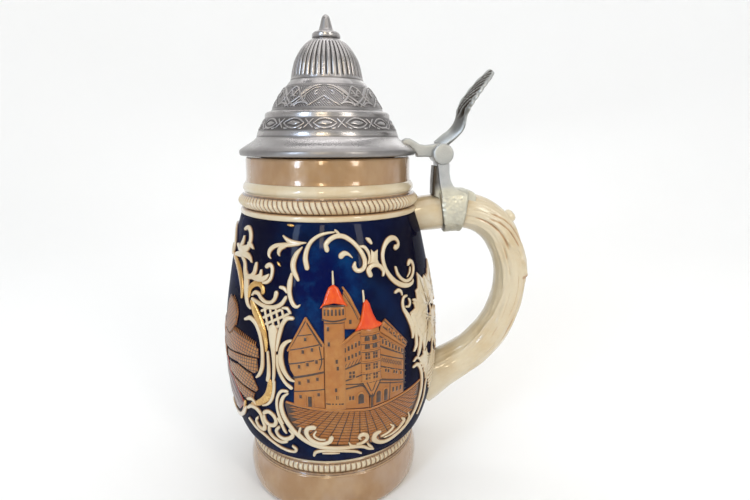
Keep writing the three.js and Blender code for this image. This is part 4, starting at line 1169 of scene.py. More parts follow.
def right_house(walls, panes):
    """The large house on the right, with dormers, a timbered gallery and two arched doors."""
    slab(walls, belly, RIGHT, RIGHT_HEIGHT, top_stain=0.18)
    slab(walls, belly, RIGHT_ROOF, RIGHT_ROOF_HEIGHT)
    lines(panes, RIGHT_LINES, RIGHT_HEIGHT)
    lines(panes, ROOF_LINES, RIGHT_ROOF_HEIGHT)
    for k in range(4):
        u = 11.4 + 1.9 * k
        v = 80.4 - 1.75 * k
        dormer = [(u - 0.7, v - 1.0), (u + 0.7, v - 1.0), (u + 0.7, v + 0.6), (u, v + 1.3),
                  (u - 0.7, v + 0.6)]
        pad(walls, belly, dormer, 0.3, 0.12, RIGHT_ROOF_HEIGHT, 0.6)
        pad(panes, belly, rectangle(u, v - 0.2, 0.6, 0.9), 0.10, 0.04, RIGHT_ROOF_HEIGHT + 0.27)
    for k in range(7):
        windows(walls, panes, RIGHT_HEIGHT, 0.75, 1.7, [(8.7 + 1.4 * k, 76.2 - 0.92 * k)])
    for k in range(12):
        u, v = 8.2 + 0.75 * k, 69.3 - 0.33 * k
        for lean in (-0.35, 0.35):
            timber = [(u - lean, v - 0.75, 0.2), (u + lean, v + 0.75, 0.2)]
            stroke(panes, belly, timber, 0.12, RIGHT_HEIGHT, FINE_STEP)
    windows(walls, panes, RIGHT_HEIGHT, 0.75, 1.2, RIGHT_UPPER_WINDOWS)
    windows(walls, panes, RIGHT_HEIGHT, 0.85, 1.9, RIGHT_LOWER_WINDOWS)
    for u, width in ((6.6, 1.8), (9.6, 1.5)):
        pad(walls, belly, arch(u, 55.4, width + 0.9, 5.6), 0.2, 0.1, RIGHT_HEIGHT, 0.6)
        pane(panes, arch(u, 55.1, width, 4.8), RIGHT_HEIGHT + 0.18)
    for k in range(7):
        quoin = [(19.0, 54.6 + 2.5 * k, 0.3), (18.3, 54.4 + 2.5 * k, 0.3)]
        stroke(panes, belly, quoin, 0.12, RIGHT_HEIGHT, FINE_STEP)


def paving(walls, panes):
    """The square: a dark bed with a stone in each cell of the fan."""
    slab(panes, belly, PAVEMENT, 0.12, 0.2)
    depth = [HORIZON - 0.9]
    gap = STONE_DEPTH
    while depth[-1] > PAVING_LOW:
        depth.append(depth[-1] - gap)
        gap *= STONE_GROWTH
    spread = [STONE_SPREAD * k - 3.6 for k in range(44)]
    for low, high in zip(depth[1:], depth[:-1]):
        for left, right in zip(spread[:-1], spread[1:]):
            corners = []
            for share, v in ((left, low), (right, low), (right, high), (left, high)):
                u = VANISHING[0] + share * (VANISHING[1] - v)
                corners.append((u, v + 0.145 * abs(u - 4.0)))
            if all(inside(PAVEMENT, u, v) for u, v in corners):
                middle_u = sum(u for u, v in corners) / 4
                middle_v = sum(v for u, v in corners) / 4
                stone = [(u + (middle_u - u) * 0.10, v + (middle_v - v) * 0.16) for u, v in corners]
                pad(walls, belly, stone, 0.20, 0.10, 0.10, 0.9, 0.20)
    stroke(walls, belly, KERB, 0.45, 0.05, stain=0.6)


def town_relief():
    """The front scene, with its mirror image on the far side."""
    walls, panes, roofs, spires = Mesh(), Mesh(), Mesh(), Mesh()
    paving(walls, panes)
    gable_house(walls, panes)
    middle_house(walls, panes)
    round_tower(walls, panes)
    right_house(walls, panes)
    oriel(walls, panes)
    slab(roofs, belly, TOWER_ROOF, tower_roof_height, 0.45, grid=1.1, stain=0.7)
    slab(roofs, belly, ORIEL_ROOF, oriel_roof_height, 0.45, grid=1.1, stain=0.7)
    for path in (TALL_SPIRE, SHORT_SPIRE):
        stroke(spires, belly, path, 0.7)
    both_sides((walls, "town_walls", CARAMEL, "caramel_glaze"),
               (panes, "town_lines", BROWN_STAIN, "brown_stain"),
               (roofs, "turret_roofs", ORANGE, "orange_glaze"),
               (spires, "turret_spires", IVORY, "ivory_glaze"))

# ---------------------------------------------------------------- relief: vine leaves beside the handle

LEAF = [(0.0, 0.0), (0.20, -0.10), (0.46, -0.34), (0.50, -0.20), (0.74, -0.20), (0.66, -0.04), (0.95, 0.10),
        (0.78, 0.22), (0.86, 0.42), (0.62, 0.40), (0.58, 0.58), (0.42, 0.52), (0.34, 0.74), (0.20, 0.72),
        (0.0, 1.05)]
LEAF_VEINS = [[(0, 0.05), (0, 0.9)], [(0.02, 0.12), (0.5, 0.44)], [(0.02, 0.08),
               (0.62, 0.06)], [(0.0, 0.42), (0.2, 0.62)]]
# Each leaf: u and v of its stalk, direction in degrees, size.
VINE_LEAVES = [(37.5, 82.5, 112, 15.5), (46.5, 86.0, 78, 13.0), (37.0, 79.0, 245, 14.5),
               (45.5, 74.5, 268, 12.0),
               (36.0, 62.0, 250, 9.5), (47.0, 59.5, 285, 8.0)]
VINE_STEMS = [
    [(36.6, 83.6, 1.0), (41, 83.4, 1.3), (46, 85.4, 1.2), (52, 91, 1.0)],
    [(40, 83.0, 1.2), (40.6, 79, 1.3), (41, 73, 1.3), (40.2, 66, 1.2), (38.6, 60.5, 1.1), (35.4, 55.6, 1.2),
     (33.8, 50, 1.4), (33.4, 44, 1.2), (30.5, 37.4, 1.0)],
    [(41.0, 75, 0.9), (44.0, 74.0, 1.0), (46.4, 74.6, 0.9)],
]
VEIN_SHARE = 0.35                        # how much of each raised vein has a brown line on it
GRAPES_TOP = (39.6, 55.5)
GRAPE_ROWS = (3, 4, 4, 3, 2, 1)
GRAPE_SIZE = 1.9


def turned_leaf(points, place, direction, size):
    """Leaf points placed with the stalk at (u, v) and the tip in the given direction."""
    angle = math.radians(direction - 90)
    c, s = math.cos(angle), math.sin(angle)
    return [(place[0] + size * (x * c - y * s), place[1] + size * (x * s + y * c)) for x, y in points]


def vine_relief():
    """Vine leaves, stems and grapes on both sides of the handle."""
    mesh, veins = Mesh(), Mesh()
    for path in VINE_STEMS:
        stroke(mesh, belly, path, 0.8)
    for u, v, direction, size in VINE_LEAVES:
        outline = LEAF + [(-x, y) for x, y in reversed(LEAF[1:-1])]
        placed = turned_leaf(outline, (u, v), direction, size)
        rib = math.radians(direction)

        def height(a, b, u=u, v=v, rib=rib, size=size):
            off = abs((a - u) * math.sin(rib) - (b - v) * math.cos(rib)) / size
            along = ((a - u) * math.cos(rib) + (b - v) * math.sin(rib)) / size
            return 0.55 + 0.40 * abs(math.sin(off * 9 - along * 2.2)) * (1 - 0.4 * along)

        slab(mesh, belly, placed, height, 0.35, grid=1.1)
        for side in (1, -1):
            for vein in LEAF_VEINS:
                points = turned_leaf([(x * side, y) for x, y in vein], (u, v), direction, size)
                path = [(a, b, width) for (a, b), width in zip(points, (0.7, 0.3))]
                stroke(mesh, belly, path, 0.22, height, 1.0, stain=0.5)
                short = [(x * side * VEIN_SHARE + 0.03, y * VEIN_SHARE) for x, y in vein]
                points = turned_leaf(short, (u, v), direction, size)
                path = [(a, b, width) for (a, b), width in zip(points, (0.45, 0.2))]
                stroke(veins, belly, path, 0.12, lifted(height, 0.04), 0.8)
    for row, count in enumerate(GRAPE_ROWS):
        for k in range(count):
            u = GRAPES_TOP[0] + (k - (count - 1) / 2) * 2.1
            v = GRAPES_TOP[1] - row * GRAPE_SIZE
            stroke(mesh, belly, [(u - 0.15, v, GRAPE_SIZE), (u + 0.15, v, GRAPE_SIZE)], 0.95, step=0.15)
    both_sides((mesh, "vine_relief", IVORY, "ivory_glaze"),
               (veins, "vine_veins", BROWN_STAIN, "brown_stain"))

# ---------------------------------------------------------------- relief: the panel opposite the handle

# Each roof: outline, the two directions of its tiles, the fringe along its ridge.
REAR_ROOFS = [
    ([(-66, 74), (-64.5, 84), (-61.5, 88.5), (-57.5, 87.6), (-54.6, 86.0), (-52.8, 83.1), (-53.4, 79),
    (-56.5, 75.4),
      (-60, 73.2)], (38, -52), [(-57.5, 88.0), (-54.4, 86.2), (-52.4, 83.0), (-53.2, 79)]),
    ([(-66, 66.5), (-66, 73.2), (-59.4, 72.9), (-54.4, 75.9), (-46.5, 75.3), (-41.0, 74.2), (-38.9, 72.8),
      (-38.6, 69.4), (-49.8, 68.2), (-59.6, 66.6)], (-4, 70), [(-59.4, 73.0), (-54.4, 76.2),
      (-46.5, 75.6), (-40.4, 74.2)]),
    ([(-62, 65.8), (-50.4, 67.6), (-39.4, 68.9), (-39.1, 64.0), (-41.3, 62.6), (-52.0, 64.0), (-62, 62.4)],
     (8, 82), []),
    ([(-60, 61.6), (-51.1, 63.0), (-42.6, 62.0), (-39.5, 56.6), (-40.8, 55.0), (-47.6, 55.7), (-60, 57.2)],
     (-12, 58), []),
    ([(-57, 56.2), (-47.0, 54.9), (-41.6, 54.1), (-42.8, 51.6), (-46.2, 49.8), (-52.4, 51.4)],
     (-8, 66), [(-50, 51.0), (-46.4, 50.0), (-42.8, 51.8)]),
]
REAR_HEIGHT = 0.5
REAR_STOREY = 5.6
REAR_WALL = [(-84.8, 61.0), (-65.8, 61.0), (-65.8, 75.4), (-84.8, 75.4)]
REAR_TOWER = [(-84.8, 61.0), (-80.6, 61.0), (-80.6, 84.0), (-84.8, 84.0)]
REAR_TOWER_ROOF = [(-84.8, 82.0), (-80.0, 82.4), (-81.6, 85.4), (-83.2, 89.6), (-84.4, 94.0), (-84.8, 94.0)]
REAR_SLOPE = [(-84.8, 60.4), (-74, 60.6), (-63.8, 61.0), (-61.2, 56.4), (-57.6, 55.4), (-52.6, 50.4),
              (-49.6, 46.6),
              (-56.7, 40.6), (-66, 39.2), (-84.8, 38.8)]
SLOPE_FOLDS = [[(-84.8, 56.0, 0.8), (-74, 55.0, 1.2), (-64, 50.6, 1.0), (-55.5, 44.6, 0.6)],
               [(-84.8, 49.6, 0.8), (-76, 48.6, 1.2), (-66, 44.6, 0.9), (-60.5, 41.6, 0.5)],
               [(-70, 59.6, 0.6), (-64, 56.2, 1.0), (-57.5, 51.4, 0.9), (-52.4, 46.2, 0.5)]]
REAR_SCROLLS = [
    [(-84.8, 113.0, 1.8), (-78, 114.4, 1.6), (-71, 113.2, 1.8), (-66.4, 109.4, 1.7), (-65.6, 105.6, 1.6),
     (-68, 103.6, 1.5), (-70.2, 105.2, 1.6), (-69.2, 107.2, 1.0)],
    [(-84.8, 34.4, 1.8), (-76, 34.6, 1.7), (-66, 35.2, 1.7), (-57, 38.0, 1.7), (-51.6, 41.6, 1.6),
     (-48.4, 45.6, 1.2)],
    [(-84.8, 30.8, 1.3), (-80, 31.4, 1.3), (-74, 30.6, 1.1), (-70, 29.6, 0.7)],
    [(-73.6, 36.0, 1.2), (-70.8, 38.6, 1.6), (-67.4, 38.4, 1.5), (-67.0, 36.2, 1.2)],
]


def fringe(mesh, path, base):
    """Short upright teeth along a ridge, like the ends of thatch or the tops of firs."""
    for u, v in spline(path, 1.25):
        stroke(mesh, belly, [(u - 0.1, v - 0.5, 0.55), (u + 0.25, v + 1.0, 0.3)], 0.4, base, 0.5)


def rear_relief():
    """The scene opposite the handle: a castle over tiled roofs and a red slope."""
    walls, panes, reds, scrolls = Mesh(), Mesh(), Mesh(), Mesh()
    slab(reds, belly, REAR_SLOPE, 0.3, top_stain=0.95)
    for fold in SLOPE_FOLDS:
        stroke(panes, belly, fold, 0.14, 0.28)
    slab(walls, belly, REAR_WALL, REAR_HEIGHT)
    gate_height = rounded(REAR_U, 4.3, REAR_HEIGHT, 0.3)
    slab(walls, belly, REAR_TOWER, gate_height, 0.2)
    for outline, tiles, ridge in REAR_ROOFS:
        slab(walls, belly, outline, REAR_HEIGHT)
        for angle in tiles:
            hatch(panes, belly, outline, angle, 1.35, 0.32, 0.14, REAR_HEIGHT - 0.02)
        if ridge:
            fringe(walls, ridge, 0.2)
    windows(walls, panes, gate_height, 1.1, 2.0, [(-82.4, 79.5), (-82.4, 73.0)])
    for row in range(2):
        low = 63.0 + REAR_STOREY * row
        lines(panes, [[(-80.0, low, 0.35), (-66.2, low, 0.35)]], REAR_HEIGHT)
        windows(walls, panes, REAR_HEIGHT, 1.1, 1.8, [(-78.2 + 3.2 * k, low + 3.0) for k in range(4)])
    pad(panes, belly, arch(-82.8, 62.6, 2.6, 4.6), 0.15, 0.1, gate_height)
    slab(reds, belly, REAR_TOWER_ROOF, 0.6, 0.3, stain=0.7)
    for path in REAR_SCROLLS:
        stroke(scrolls, belly, path, SCROLL_HEIGHT)
    both_sides((walls, "rear_walls", CARAMEL, "caramel_glaze"),
               (panes, "rear_lines", BROWN_STAIN, "brown_stain"),
               (reds, "rear_reds", ORANGE, "orange_glaze"),
               (scrolls, "rear_scrolls", IVORY, "ivory_glaze"))


# ---------------------------------------------------------------- branch handle

# Middle line from the neck to the belly: x, z and half thickness in the plane of the handle.
HANDLE_STATIONS = [
    (32.0, 116.8, 7.6), (45.0, 118.3, 7.5), (54.0, 119.2, 7.5), (63.0, 117.4, 7.4), (70.5, 112.4, 7.4),
    (75.3, 105.0, 7.3), (78.0, 96.5, 7.1), (78.7, 88.5, 7.2), (77.6, 79.5, 7.3), (74.6, 70.6, 7.5),
    (69.4, 62.2, 7.8), (63.0, 55.4, 8.0), (56.2, 50.4, 8.4), (49.3, 46.2, 9.1), (42.5, 42.0, 10.6),
    (39.5, 40.4, 11.2),
]
HANDLE_WIDTH_RATIO = 0.95
HANDLE_AROUND = 180
HANDLE_STEP = 0.55
# Bark grooves: start and end along the handle, angle round it at the start and end, depth, half width.
# A negative depth is a ridge.
# Angle 0 is the outer side, 90 the side that faces negative Y, and 180 the inner side.
BARK_GROOVES = [
    (22, 42, 40, 34, 0.28, 3.5), (22, 40, 58, 54, 0.28, 3.5), (22, 38, 22, 20, 0.22, 3.0),
    (22, 44, 76, 70, 0.30, 3.5),
    (22, 54, 100, 96, 0.60, 5.5), (34, 58, 66, 20, 0.75, 5.5), (34, 54, 84, 50, 0.70, 5.0),
    (40, 56, 44, 36, 0.40, 3.0), (44, 62, 22, 4, 0.55, 4.5), (48, 66, 110, 100, 0.35, 4.0),
    (46, 68, 96, 22, -0.60, 7.0), (63, 94, 46, 50, 0.50, 4.0), (66, 90, 20, 24, 0.35, 4.0),
    (62, 84, 74, 76, 0.30, 5.0), (70, 98, 98, 96, 0.25, 4.0), (86, 108, 30, 34, 0.25, 4.0),
    (78, 112, 64, 62, 0.20, 5.0), (102, 118, 50, 46, 0.28, 3.5), (98, 112, 80, 84, 0.18, 4.0),
    (24, 124, 126, 126, -0.35, 8.0),
]
GROOVE_REACH = 2.2                       # in half widths; beyond this a groove leaves no trace
# Ledges where old bark breaks off: position, angle, length, half angle, height.
BARK_LEDGES = [(64, 34, -16, 26, 0.80)]
BARK_ROOM = 0.7                          # the bend is set back by this to keep the bark in the CAD box
STUB_BASE = (70.6, 0, 111.4)
STUB_TIP = (78.3, 0, 117.7)
STUB_AROUND = 24


def swell(value, low, high, soft):
    """1 between low and high, fading to 0 over the soft distance outside."""
    return blend_step(low - soft, low, value) * (1 - blend_step(high, high + soft, value))


def bark(s, angle):
    """How far the bark stands in or out at a place on the handle, and its stain."""
    side = abs(angle)
    depth, stain = 0.0, 0.0
    for start, end, a0, a1, deep, wide in BARK_GROOVES:
        share = min(max((s - start) / (end - start), 0.0), 1.0)
        wave = 3.0 * math.sin(s * 0.17 + start)
        off = abs(side - (a0 + (a1 - a0) * share + wave)) / wide
        if off < GROOVE_REACH:
            cut = math.exp(-off * off * 2.2) * swell(s, start + 3, end - 4, 4.0)
            uneven = 0.65 + 0.6 * noise.noise((s * 0.16, side * 0.11, start))
            depth -= 1.35 * deep * cut * uneven
            stain = max(stain, cut * uneven * min(0.95, deep * 1.5) * (0.5 + 0.5 * swell(s, 32, 92, 8)))
    for place, middle, length, half, rise in BARK_LEDGES:
        along = (s - place) / length
        if -0.5 < along < 1.0:
            flank = 1 - blend_step(0.6, 1.0, abs(side - middle) / half)
            edge = blend_step(-0.04, 0.02, along) * (1 - blend_step(0.3, 1.0, along))
            depth += rise * edge * flank
            lip = math.exp(-((along + 0.02) / 0.05) ** 2) * flank
            stain = max(stain, 0.7 * lip)
    calm = 1 - 0.75 * swell(s, 0, 22, 6)
    grain = 0.16 * noise.noise((s * 0.07, angle * 0.12, 3.0))
    grain += 0.09 * noise.noise((s * 0.22, angle * 0.30, 8.0))
    lumps = 0.16 * noise.noise((s * 0.14, angle * 0.045, 5.0))
    return depth + calm * (grain + lumps), min(stain, 1.0)


def handle_line():
    """Stations about one step apart: distance along, middle, direction across, half thickness."""
    line = spline(HANDLE_STATIONS, HANDLE_STEP)
    gaps = np.hypot(np.diff(line[:, 0]), np.diff(line[:, 1]))
    distance = np.concatenate([[0], np.cumsum(gaps)])
    tangents = np.gradient(line[:, :2], axis=0)
    tangents /= np.hypot(tangents[:, 0], tangents[:, 1])[:, None]
    return [(s, x, z, -t[1], t[0], half) for s, (x, z, half), t in zip(distance, line, tangents)]


def inside_wall(point):
    """The point, moved out to the middle of the vessel's wall if it would stand in the cavity."""
    outer = np.interp(point.z, [z for r, z in BELLY], [r for r, z in BELLY])
    inner = np.interp(point.z, [z for r, z in CAVITY[::-1]], [r for r, z in CAVITY[::-1]])
    scale = max((outer + inner) / 2 / math.hypot(point.x, point.y), 1.0)
    return Vector((point.x * scale, point.y * scale, point.z))


def branch_handle():
    """The handle as a branch with bark grooves, a ledge and the stub of a cut twig."""
    mesh = Mesh()
    stations = handle_line()
    for s, x, z, across_x, across_z, half in stations:
        taper = 1 - 0.06 * blend_step(10, 0, s)
        room = BARK_ROOM * swell(s, 54, 80, 14)
        for j in range(HANDLE_AROUND):
            angle = 360.0 * j / HANDLE_AROUND
            signed = angle if angle <= 180 else angle - 360
            depth, stain = bark(s, signed)
            c, sn = math.cos(math.radians(angle)), math.sin(math.radians(angle))
            reach = half * taper + depth - room * max(c, 0.0)
            width = half * taper * HANDLE_WIDTH_RATIO + depth
            place = Vector((x + across_x * reach * c, -width * sn, z + across_z * reach * c))
            mesh.points.append(inside_wall(place))
            # Painted shade: a light stain on the handle's inner side, which faces the body, stands in for
            # the shade there.
            inner = 0.12 * blend_step(120, 180, abs(signed))
            mesh.stains_and_shade.append(max(stain, inner))
    mesh.capped_rows(0, len(stations), HANDLE_AROUND)
    twig_stub(mesh)
    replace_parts(mesh.piece("branch_bark", IVORY, "ivory_glaze", "mug"), "branch_handle")


def twig_stub(mesh):
    """A short stub with a domed cut face on the outside of the bend."""
    base, tip = Vector(STUB_BASE), Vector(STUB_TIP)
    along = (tip - base).normalized()
    side = Vector((0, 1, 0))
    up = side.cross(along)
    rows = [(0.0, 4.6), (0.35, 4.2), (0.55, 3.4), (0.75, 3.0),
            (0.88, 2.8), (0.95, 2.3), (0.99, 1.3), (1.0, 0.3)]
    start = len(mesh.points)
    for share, radius in rows:
        centre = base.lerp(tip, share)
        for j in range(STUB_AROUND):
            angle = 2 * math.pi * j / STUB_AROUND
            mesh.points.append(centre + side * radius * math.cos(angle) + up * radius * math.sin(angle))
            mesh.stains_and_shade.append(0.35 * blend_step(0.30, 0.5, share) * (1 - blend_step(0.5, 0.8, share)))
    mesh.capped_rows(start, len(rows), STUB_AROUND)


# ---------------------------------------------------------------- pewter lid

LID_RIBS = 40
LID_AROUND = LID_RIBS * 12
TURNED_AROUND = 64                       # points round the knob and the hinge's turned pieces
RIB_LOW, RIB_HIGH = 171.6, 185.8
STRAPWORK_LOW, STRAPWORK_HIGH = 160.0, 168.2
CHAIN_LOW, CHAIN_HIGH = 151.8, 156.0
LID_GROOVES = (149.4, 151.5, 156.2, 159.3, 168.5, 171.0)         # heights of the turned grooves
BAND_RADIUS = 20.0
CHAIN_RADIUS = 27.0
NO_LIMIT = 1e9
lid_band = Turned(LID, BAND_RADIUS, -88.0, NO_LIMIT)
lid_chain = Turned(LID, CHAIN_RADIUS, -86.7, NO_LIMIT)


def lid_shape(radius, z, azimuth):
    """Ribs on the dome; the rest is plain."""
    ridge = abs(math.cos(azimuth * LID_RIBS / 2)) ** 0.8
    share = swell(z, RIB_LOW + 0.8, RIB_HIGH - 1.2, 0.8)
    return radius - 0.55 * share * min(1.0, radius / 9) * (1 - ridge), z


def lid_stain_and_shade(radius, z, azimuth):
    """Dark in the flutes, in the grounds of both bands and in the turned grooves, and on the rim duller and
    darker, where the darkening is painted shade.
    """
    ridge = abs(math.cos(azimuth * LID_RIBS / 2)) ** 0.8
    flutes = swell(z, RIB_LOW + 0.8, RIB_HIGH - 1.2, 0.8) * (1 - blend_step(0.2, 0.75, ridge)) * 0.95
    ground = 0.62 * swell(z, STRAPWORK_LOW, STRAPWORK_HIGH, 0.4)
    chain = 0.60 * swell(z, CHAIN_LOW, CHAIN_HIGH, 0.4)
    grooves = max(0.6 * math.exp(-((z - place) / 0.35) ** 2) for place in LID_GROOVES)
    # Painted shade: the rim is darkened against the light that it catches, besides being duller.
    rim = 0.42 * (1 - blend_step(144.6, 146.5, z))
    return max(flutes, ground, chain, grooves, rim)


def lid_shell():
    """The lid's shell with its flange, ledges and ribbed dome."""
    mesh = Mesh()
    outer = spline(LID, 0.45)[:, :2].tolist()
    under = spline(LID_UNDER, 3.0)[:, :2].tolist()

    def shape(radius, z, azimuth):
        return lid_shape(radius, z, azimuth) if [radius, z] in outer else (radius, z)

    def stain(radius, z, azimuth):
        return lid_stain_and_shade(radius, z, azimuth) if [radius, z] in outer else 0.25

    ring = [[27.4, 139.0], [27.4, 141.9]]
    lathe(mesh, [tuple(p) for p in under + ring + outer], LID_AROUND, shape, stain)
    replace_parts(mesh.piece("lid_dome", PEWTER_LID, "pewter_lid", "lid"), "lid_shell")


MEDALLIONS = 5
# Strapwork of one medallion, for its right half: u from the middle, v, width. The left half mirrors it.
STRAPS = [
    [(1.2, 167.9, 0.5), (4.0, 167.5, 0.6), (7.0, 165.7, 0.6), (10.4, 162.9, 0.6), (14.6, 160.2, 0.5)],
    [(1.4, 167.1, 0.4), (3.8, 166.7, 0.4), (6.2, 165.1, 0.4), (9.6, 162.1, 0.4), (12.0, 160.2, 0.4)],
    [(5.6, 167.3, 0.5), (7.6, 165.9, 0.7), (9.1, 164.1, 0.8), (8.0, 162.6, 0.7), (6.4, 161.3, 0.5)],
    [(7.3, 165.6, 0.4), (7.1, 164.1, 0.5), (7.0, 162.8, 0.4)],
    [(12.55, 167.6, 0.5), (13.9, 166.9, 0.5), (15.2, 165.3, 0.5), (16.3, 163.0, 0.4)],
    [(5.8, 161.0, 0.5), (7.8, 161.6, 0.6), (9.6, 161.3, 0.6), (10.8, 160.4, 0.5)],
    [(0.0, 163.9, 0.5), (2.6, 162.2, 0.5), (5.4, 160.4, 0.5)],
    [(2.6, 165.9, 0.4), (3.6, 165.2, 0.7), (3.2, 164.3, 0.6), (2.5, 164.8, 0.4)],
    [(10.9, 166.2, 0.4), (11.9, 165.2, 0.7), (12.2, 164.0, 0.6), (11.4, 163.9, 0.4)],
]
STRAP_DOTS = [(0.0, 162.6), (1.6, 161.2), (-1.6, 161.2), (0.0, 165.6), (10.9, 164.9), (-10.9, 164.9)]
LINKS = 14


def strapwork(mesh):
    """Interlaced straps with angular brackets on a hatched ground."""
    pitch = 2 * math.pi * BAND_RADIUS / MEDALLIONS
    for k in range(MEDALLIONS):
        middle = k * pitch
        for path in STRAPS:
            for side in (1, -1):
                strap = [(middle + side * a, b, width * 1.25) for a, b, width in path]
                stroke(mesh, lid_band, strap, 0.42, step=0.4, stain=0.9)
        for a, b in STRAP_DOTS:
            stroke(mesh, lid_band, [(middle + a - 0.2, b, 0.6), (middle + a + 0.2, b, 0.6)], 0.30, step=0.2)
        ground = rectangle(middle, 164.15, 24.8, 7.9)
        hatch(mesh, lid_band, ground, -48, 0.66, 0.24, 0.10, stain=0.5)


def oval_chain(mesh):
    """Pointed ovals with a leaf inside, joined by small crosses."""
    pitch = 2 * math.pi * CHAIN_RADIUS / LINKS
    half = pitch / 2 - 1.7
    centre = 154.0
    oval = [(-half, 0.0, 0.4), (-half * 0.5, 1.3, 0.65), (0, 1.75, 0.7), (half * 0.5, 1.3, 0.65),
            (half, 0.0, 0.4)]
    cross = [(-1.5, -1.5, 0.5), (0, 0, 0.6), (1.5, 1.5, 0.5)]
    tuft = [(2.3, -1.5, 0.3), (3.0, -1.9, 0.8), (3.9, -1.8, 0.3)]
    leaf = [(-2.4, -0.1, 0.4), (-0.9, 0.1, 1.3), (0.6, 0.0, 1.6), (2.4, 0.1, 0.4)]

    def motif(path, u, turn_u, turn_v, height, step):
        placed = [(u + turn_u * a, centre + turn_v * b, width) for a, b, width in path]
        stroke(mesh, lid_chain, placed, height, step=step, stain=0.9)

    for k in range(LINKS):
        u = k * pitch
        for side in (-1, 1):
            motif(oval, u, 1, side, 0.40, 0.5)
            motif(cross, u + pitch / 2, 1, side, 0.34, 0.5)
            motif(tuft, u + pitch / 2, side, 1, 0.30, 0.4)
        motif(leaf, u, 1, 1, 0.34, 0.4)


def lid_ornament():
    """The two cast bands round the lid."""
    mesh = Mesh()
    strapwork(mesh)
    oval_chain(mesh)
    mesh.piece("lid_ornament", PEWTER_LID, "pewter_lid", "lid")


def lid_finial():
    """The turned knob on its collar."""
    mesh = Mesh()
    seat = FINIAL_LOW.z - 0.3
    profile = [(0.05, seat), (5.35, seat), (5.55, 187.0), (5.62, 187.9), (5.5, 188.6), (5.0, 189.1),
               (4.2, 189.35), (3.5, 189.5), (2.95, 189.9), (2.7, 190.6), (2.4, 191.7), (2.0, 193.2),
               (1.65, 194.4), (1.25, 195.2), (0.75, 195.65), (0.05, FINIAL_HIGH.z)]

    def stain(radius, z, azimuth):
        return max(0.6 * math.exp(-((z - groove) / 0.4) ** 2) for groove in (189.5, 186.9))

    lathe(mesh, profile, TURNED_AROUND, stain=stain)
    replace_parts(mesh.piece("lid_knob", PEWTER_LID, "pewter_lid", "lid"), "lid_finial")


# ---------------------------------------------------------------- pewter hinge

KNUCKLE_RADIUS = 4.15
EAR_INNER = 4.8                          # inside of the hinge's ears


def circle_part(radius, start, end, count=20):
    """Points of an arc about the hinge axis, seen from the side, between two angles in degrees."""
    angles = [math.radians(start + (end - start) * k / count) for k in range(count + 1)]
    return [(PIN.x + radius * math.cos(a), PIN.z + radius * math.sin(a)) for a in angles]


def plate(mesh, outline, y_low, y_high, bevel):
    """A plate with rounded edges, from its outline in the XZ plane."""
    work = bmesh.new()
    count = len(outline)
    near = [work.verts.new((x, y_low, z)) for x, z in outline]
    far = [work.verts.new((x, y_high, z)) for x, z in outline]
    work.faces.new(near)
    work.faces.new(far[::-1])
    for j in range(count):
        work.faces.new((near[j], far[j], far[(j + 1) % count], near[(j + 1) % count]))
    bmesh.ops.recalc_face_normals(work, faces=work.faces)
    rims = [e for e in work.edges if abs(e.verts[0].co.y - e.verts[1].co.y) < 1e-6]
    bmesh.ops.bevel(work, geom=rims, offset=bevel, segments=3, profile=0.6, affect="EDGES",
                    clamp_overlap=True)
    bmesh.ops.triangulate(work, faces=[f for f in work.faces if len(f.verts) > 4])
    start = len(mesh.points)
    work.verts.index_update()
    mesh.points += [v.co.copy() for v in work.verts]
    mesh.stains_and_shade += [0.0] * len(work.verts)
    mesh.faces += [tuple(start + v.index for v in f.verts) for f in work.faces]
    work.free()


def turned_along_y(mesh, profile):
    """A closed outline of (radius, y) turned about the hinge axis."""
    start = len(mesh.points)
    for radius, y in profile:
        for j in range(TURNED_AROUND):
            angle = 2 * math.pi * j / TURNED_AROUND
            x, z = PIN.x + radius * math.cos(angle), PIN.z + radius * math.sin(angle)
            mesh.points.append(Vector((x, y, z)))
            mesh.stains_and_shade.append(0.0)
    mesh.looped_rows(start, len(profile), TURNED_AROUND)


SHANK_FOOT = [(44.5, 138.8), (44.9, 136.0), (45.4, 132.0), (46.1, 128.4), (46.8, 125.4), (47.4, 122.6),
              (56.4, 122.6),
              (56.2, 125.6), (55.2, 127.3), (52.8, 128.4), (51.0, 130.0), (49.9, 132.2), (49.4, 135.0),
              (49.2, 138.8)]
STRAP_AROUND = 120
STRAP_DENTS = 0.10                       # depth of the hammer marks
RIB_OUTLINE = [(44.6, 125.0), (43.0, 125.6), (42.95, 131.0), (43.3, 137.6), (48.6, 137.6), (49.6, 131.4),
               (52.6, 128.4),
               (56.4, 127.9), (59.4, 127.3), (60.6, 126.4), (61.2, 124.8), (61.2, 122.6), (50.0, 122.6)]


def hinge_shank():
    """The upright with its two ears, the rib in front and the tongue on the handle."""
    mesh = Mesh()
    ear = circle_part(KNUCKLE_RADIUS, -55, 235)
    outline = ear + SHANK_FOOT
    for low, high in ((-EAR_OUTER, -EAR_INNER), (EAR_INNER, EAR_OUTER)):
        plate(mesh, outline, low, high, 0.45)
    plate(mesh, SHANK_FOOT, -EAR_INNER - 0.3, EAR_INNER + 0.3, 0.2)
    start = len(mesh.points)
    plate(mesh, RIB_OUTLINE, -5.2, 5.2, 0.6)
    # Painted shade: the rib's front face, turned towards the body, is darkened to stand for its shadow.
    for k in range(start, len(mesh.points)):
        mesh.stains_and_shade[k] = 0.9 * (1 - blend_step(43.6, 45.5, mesh.points[k].x))
    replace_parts(mesh.piece("hinge_upright", SHANK, "pewter_hinge", "mug"), "hinge_shank")


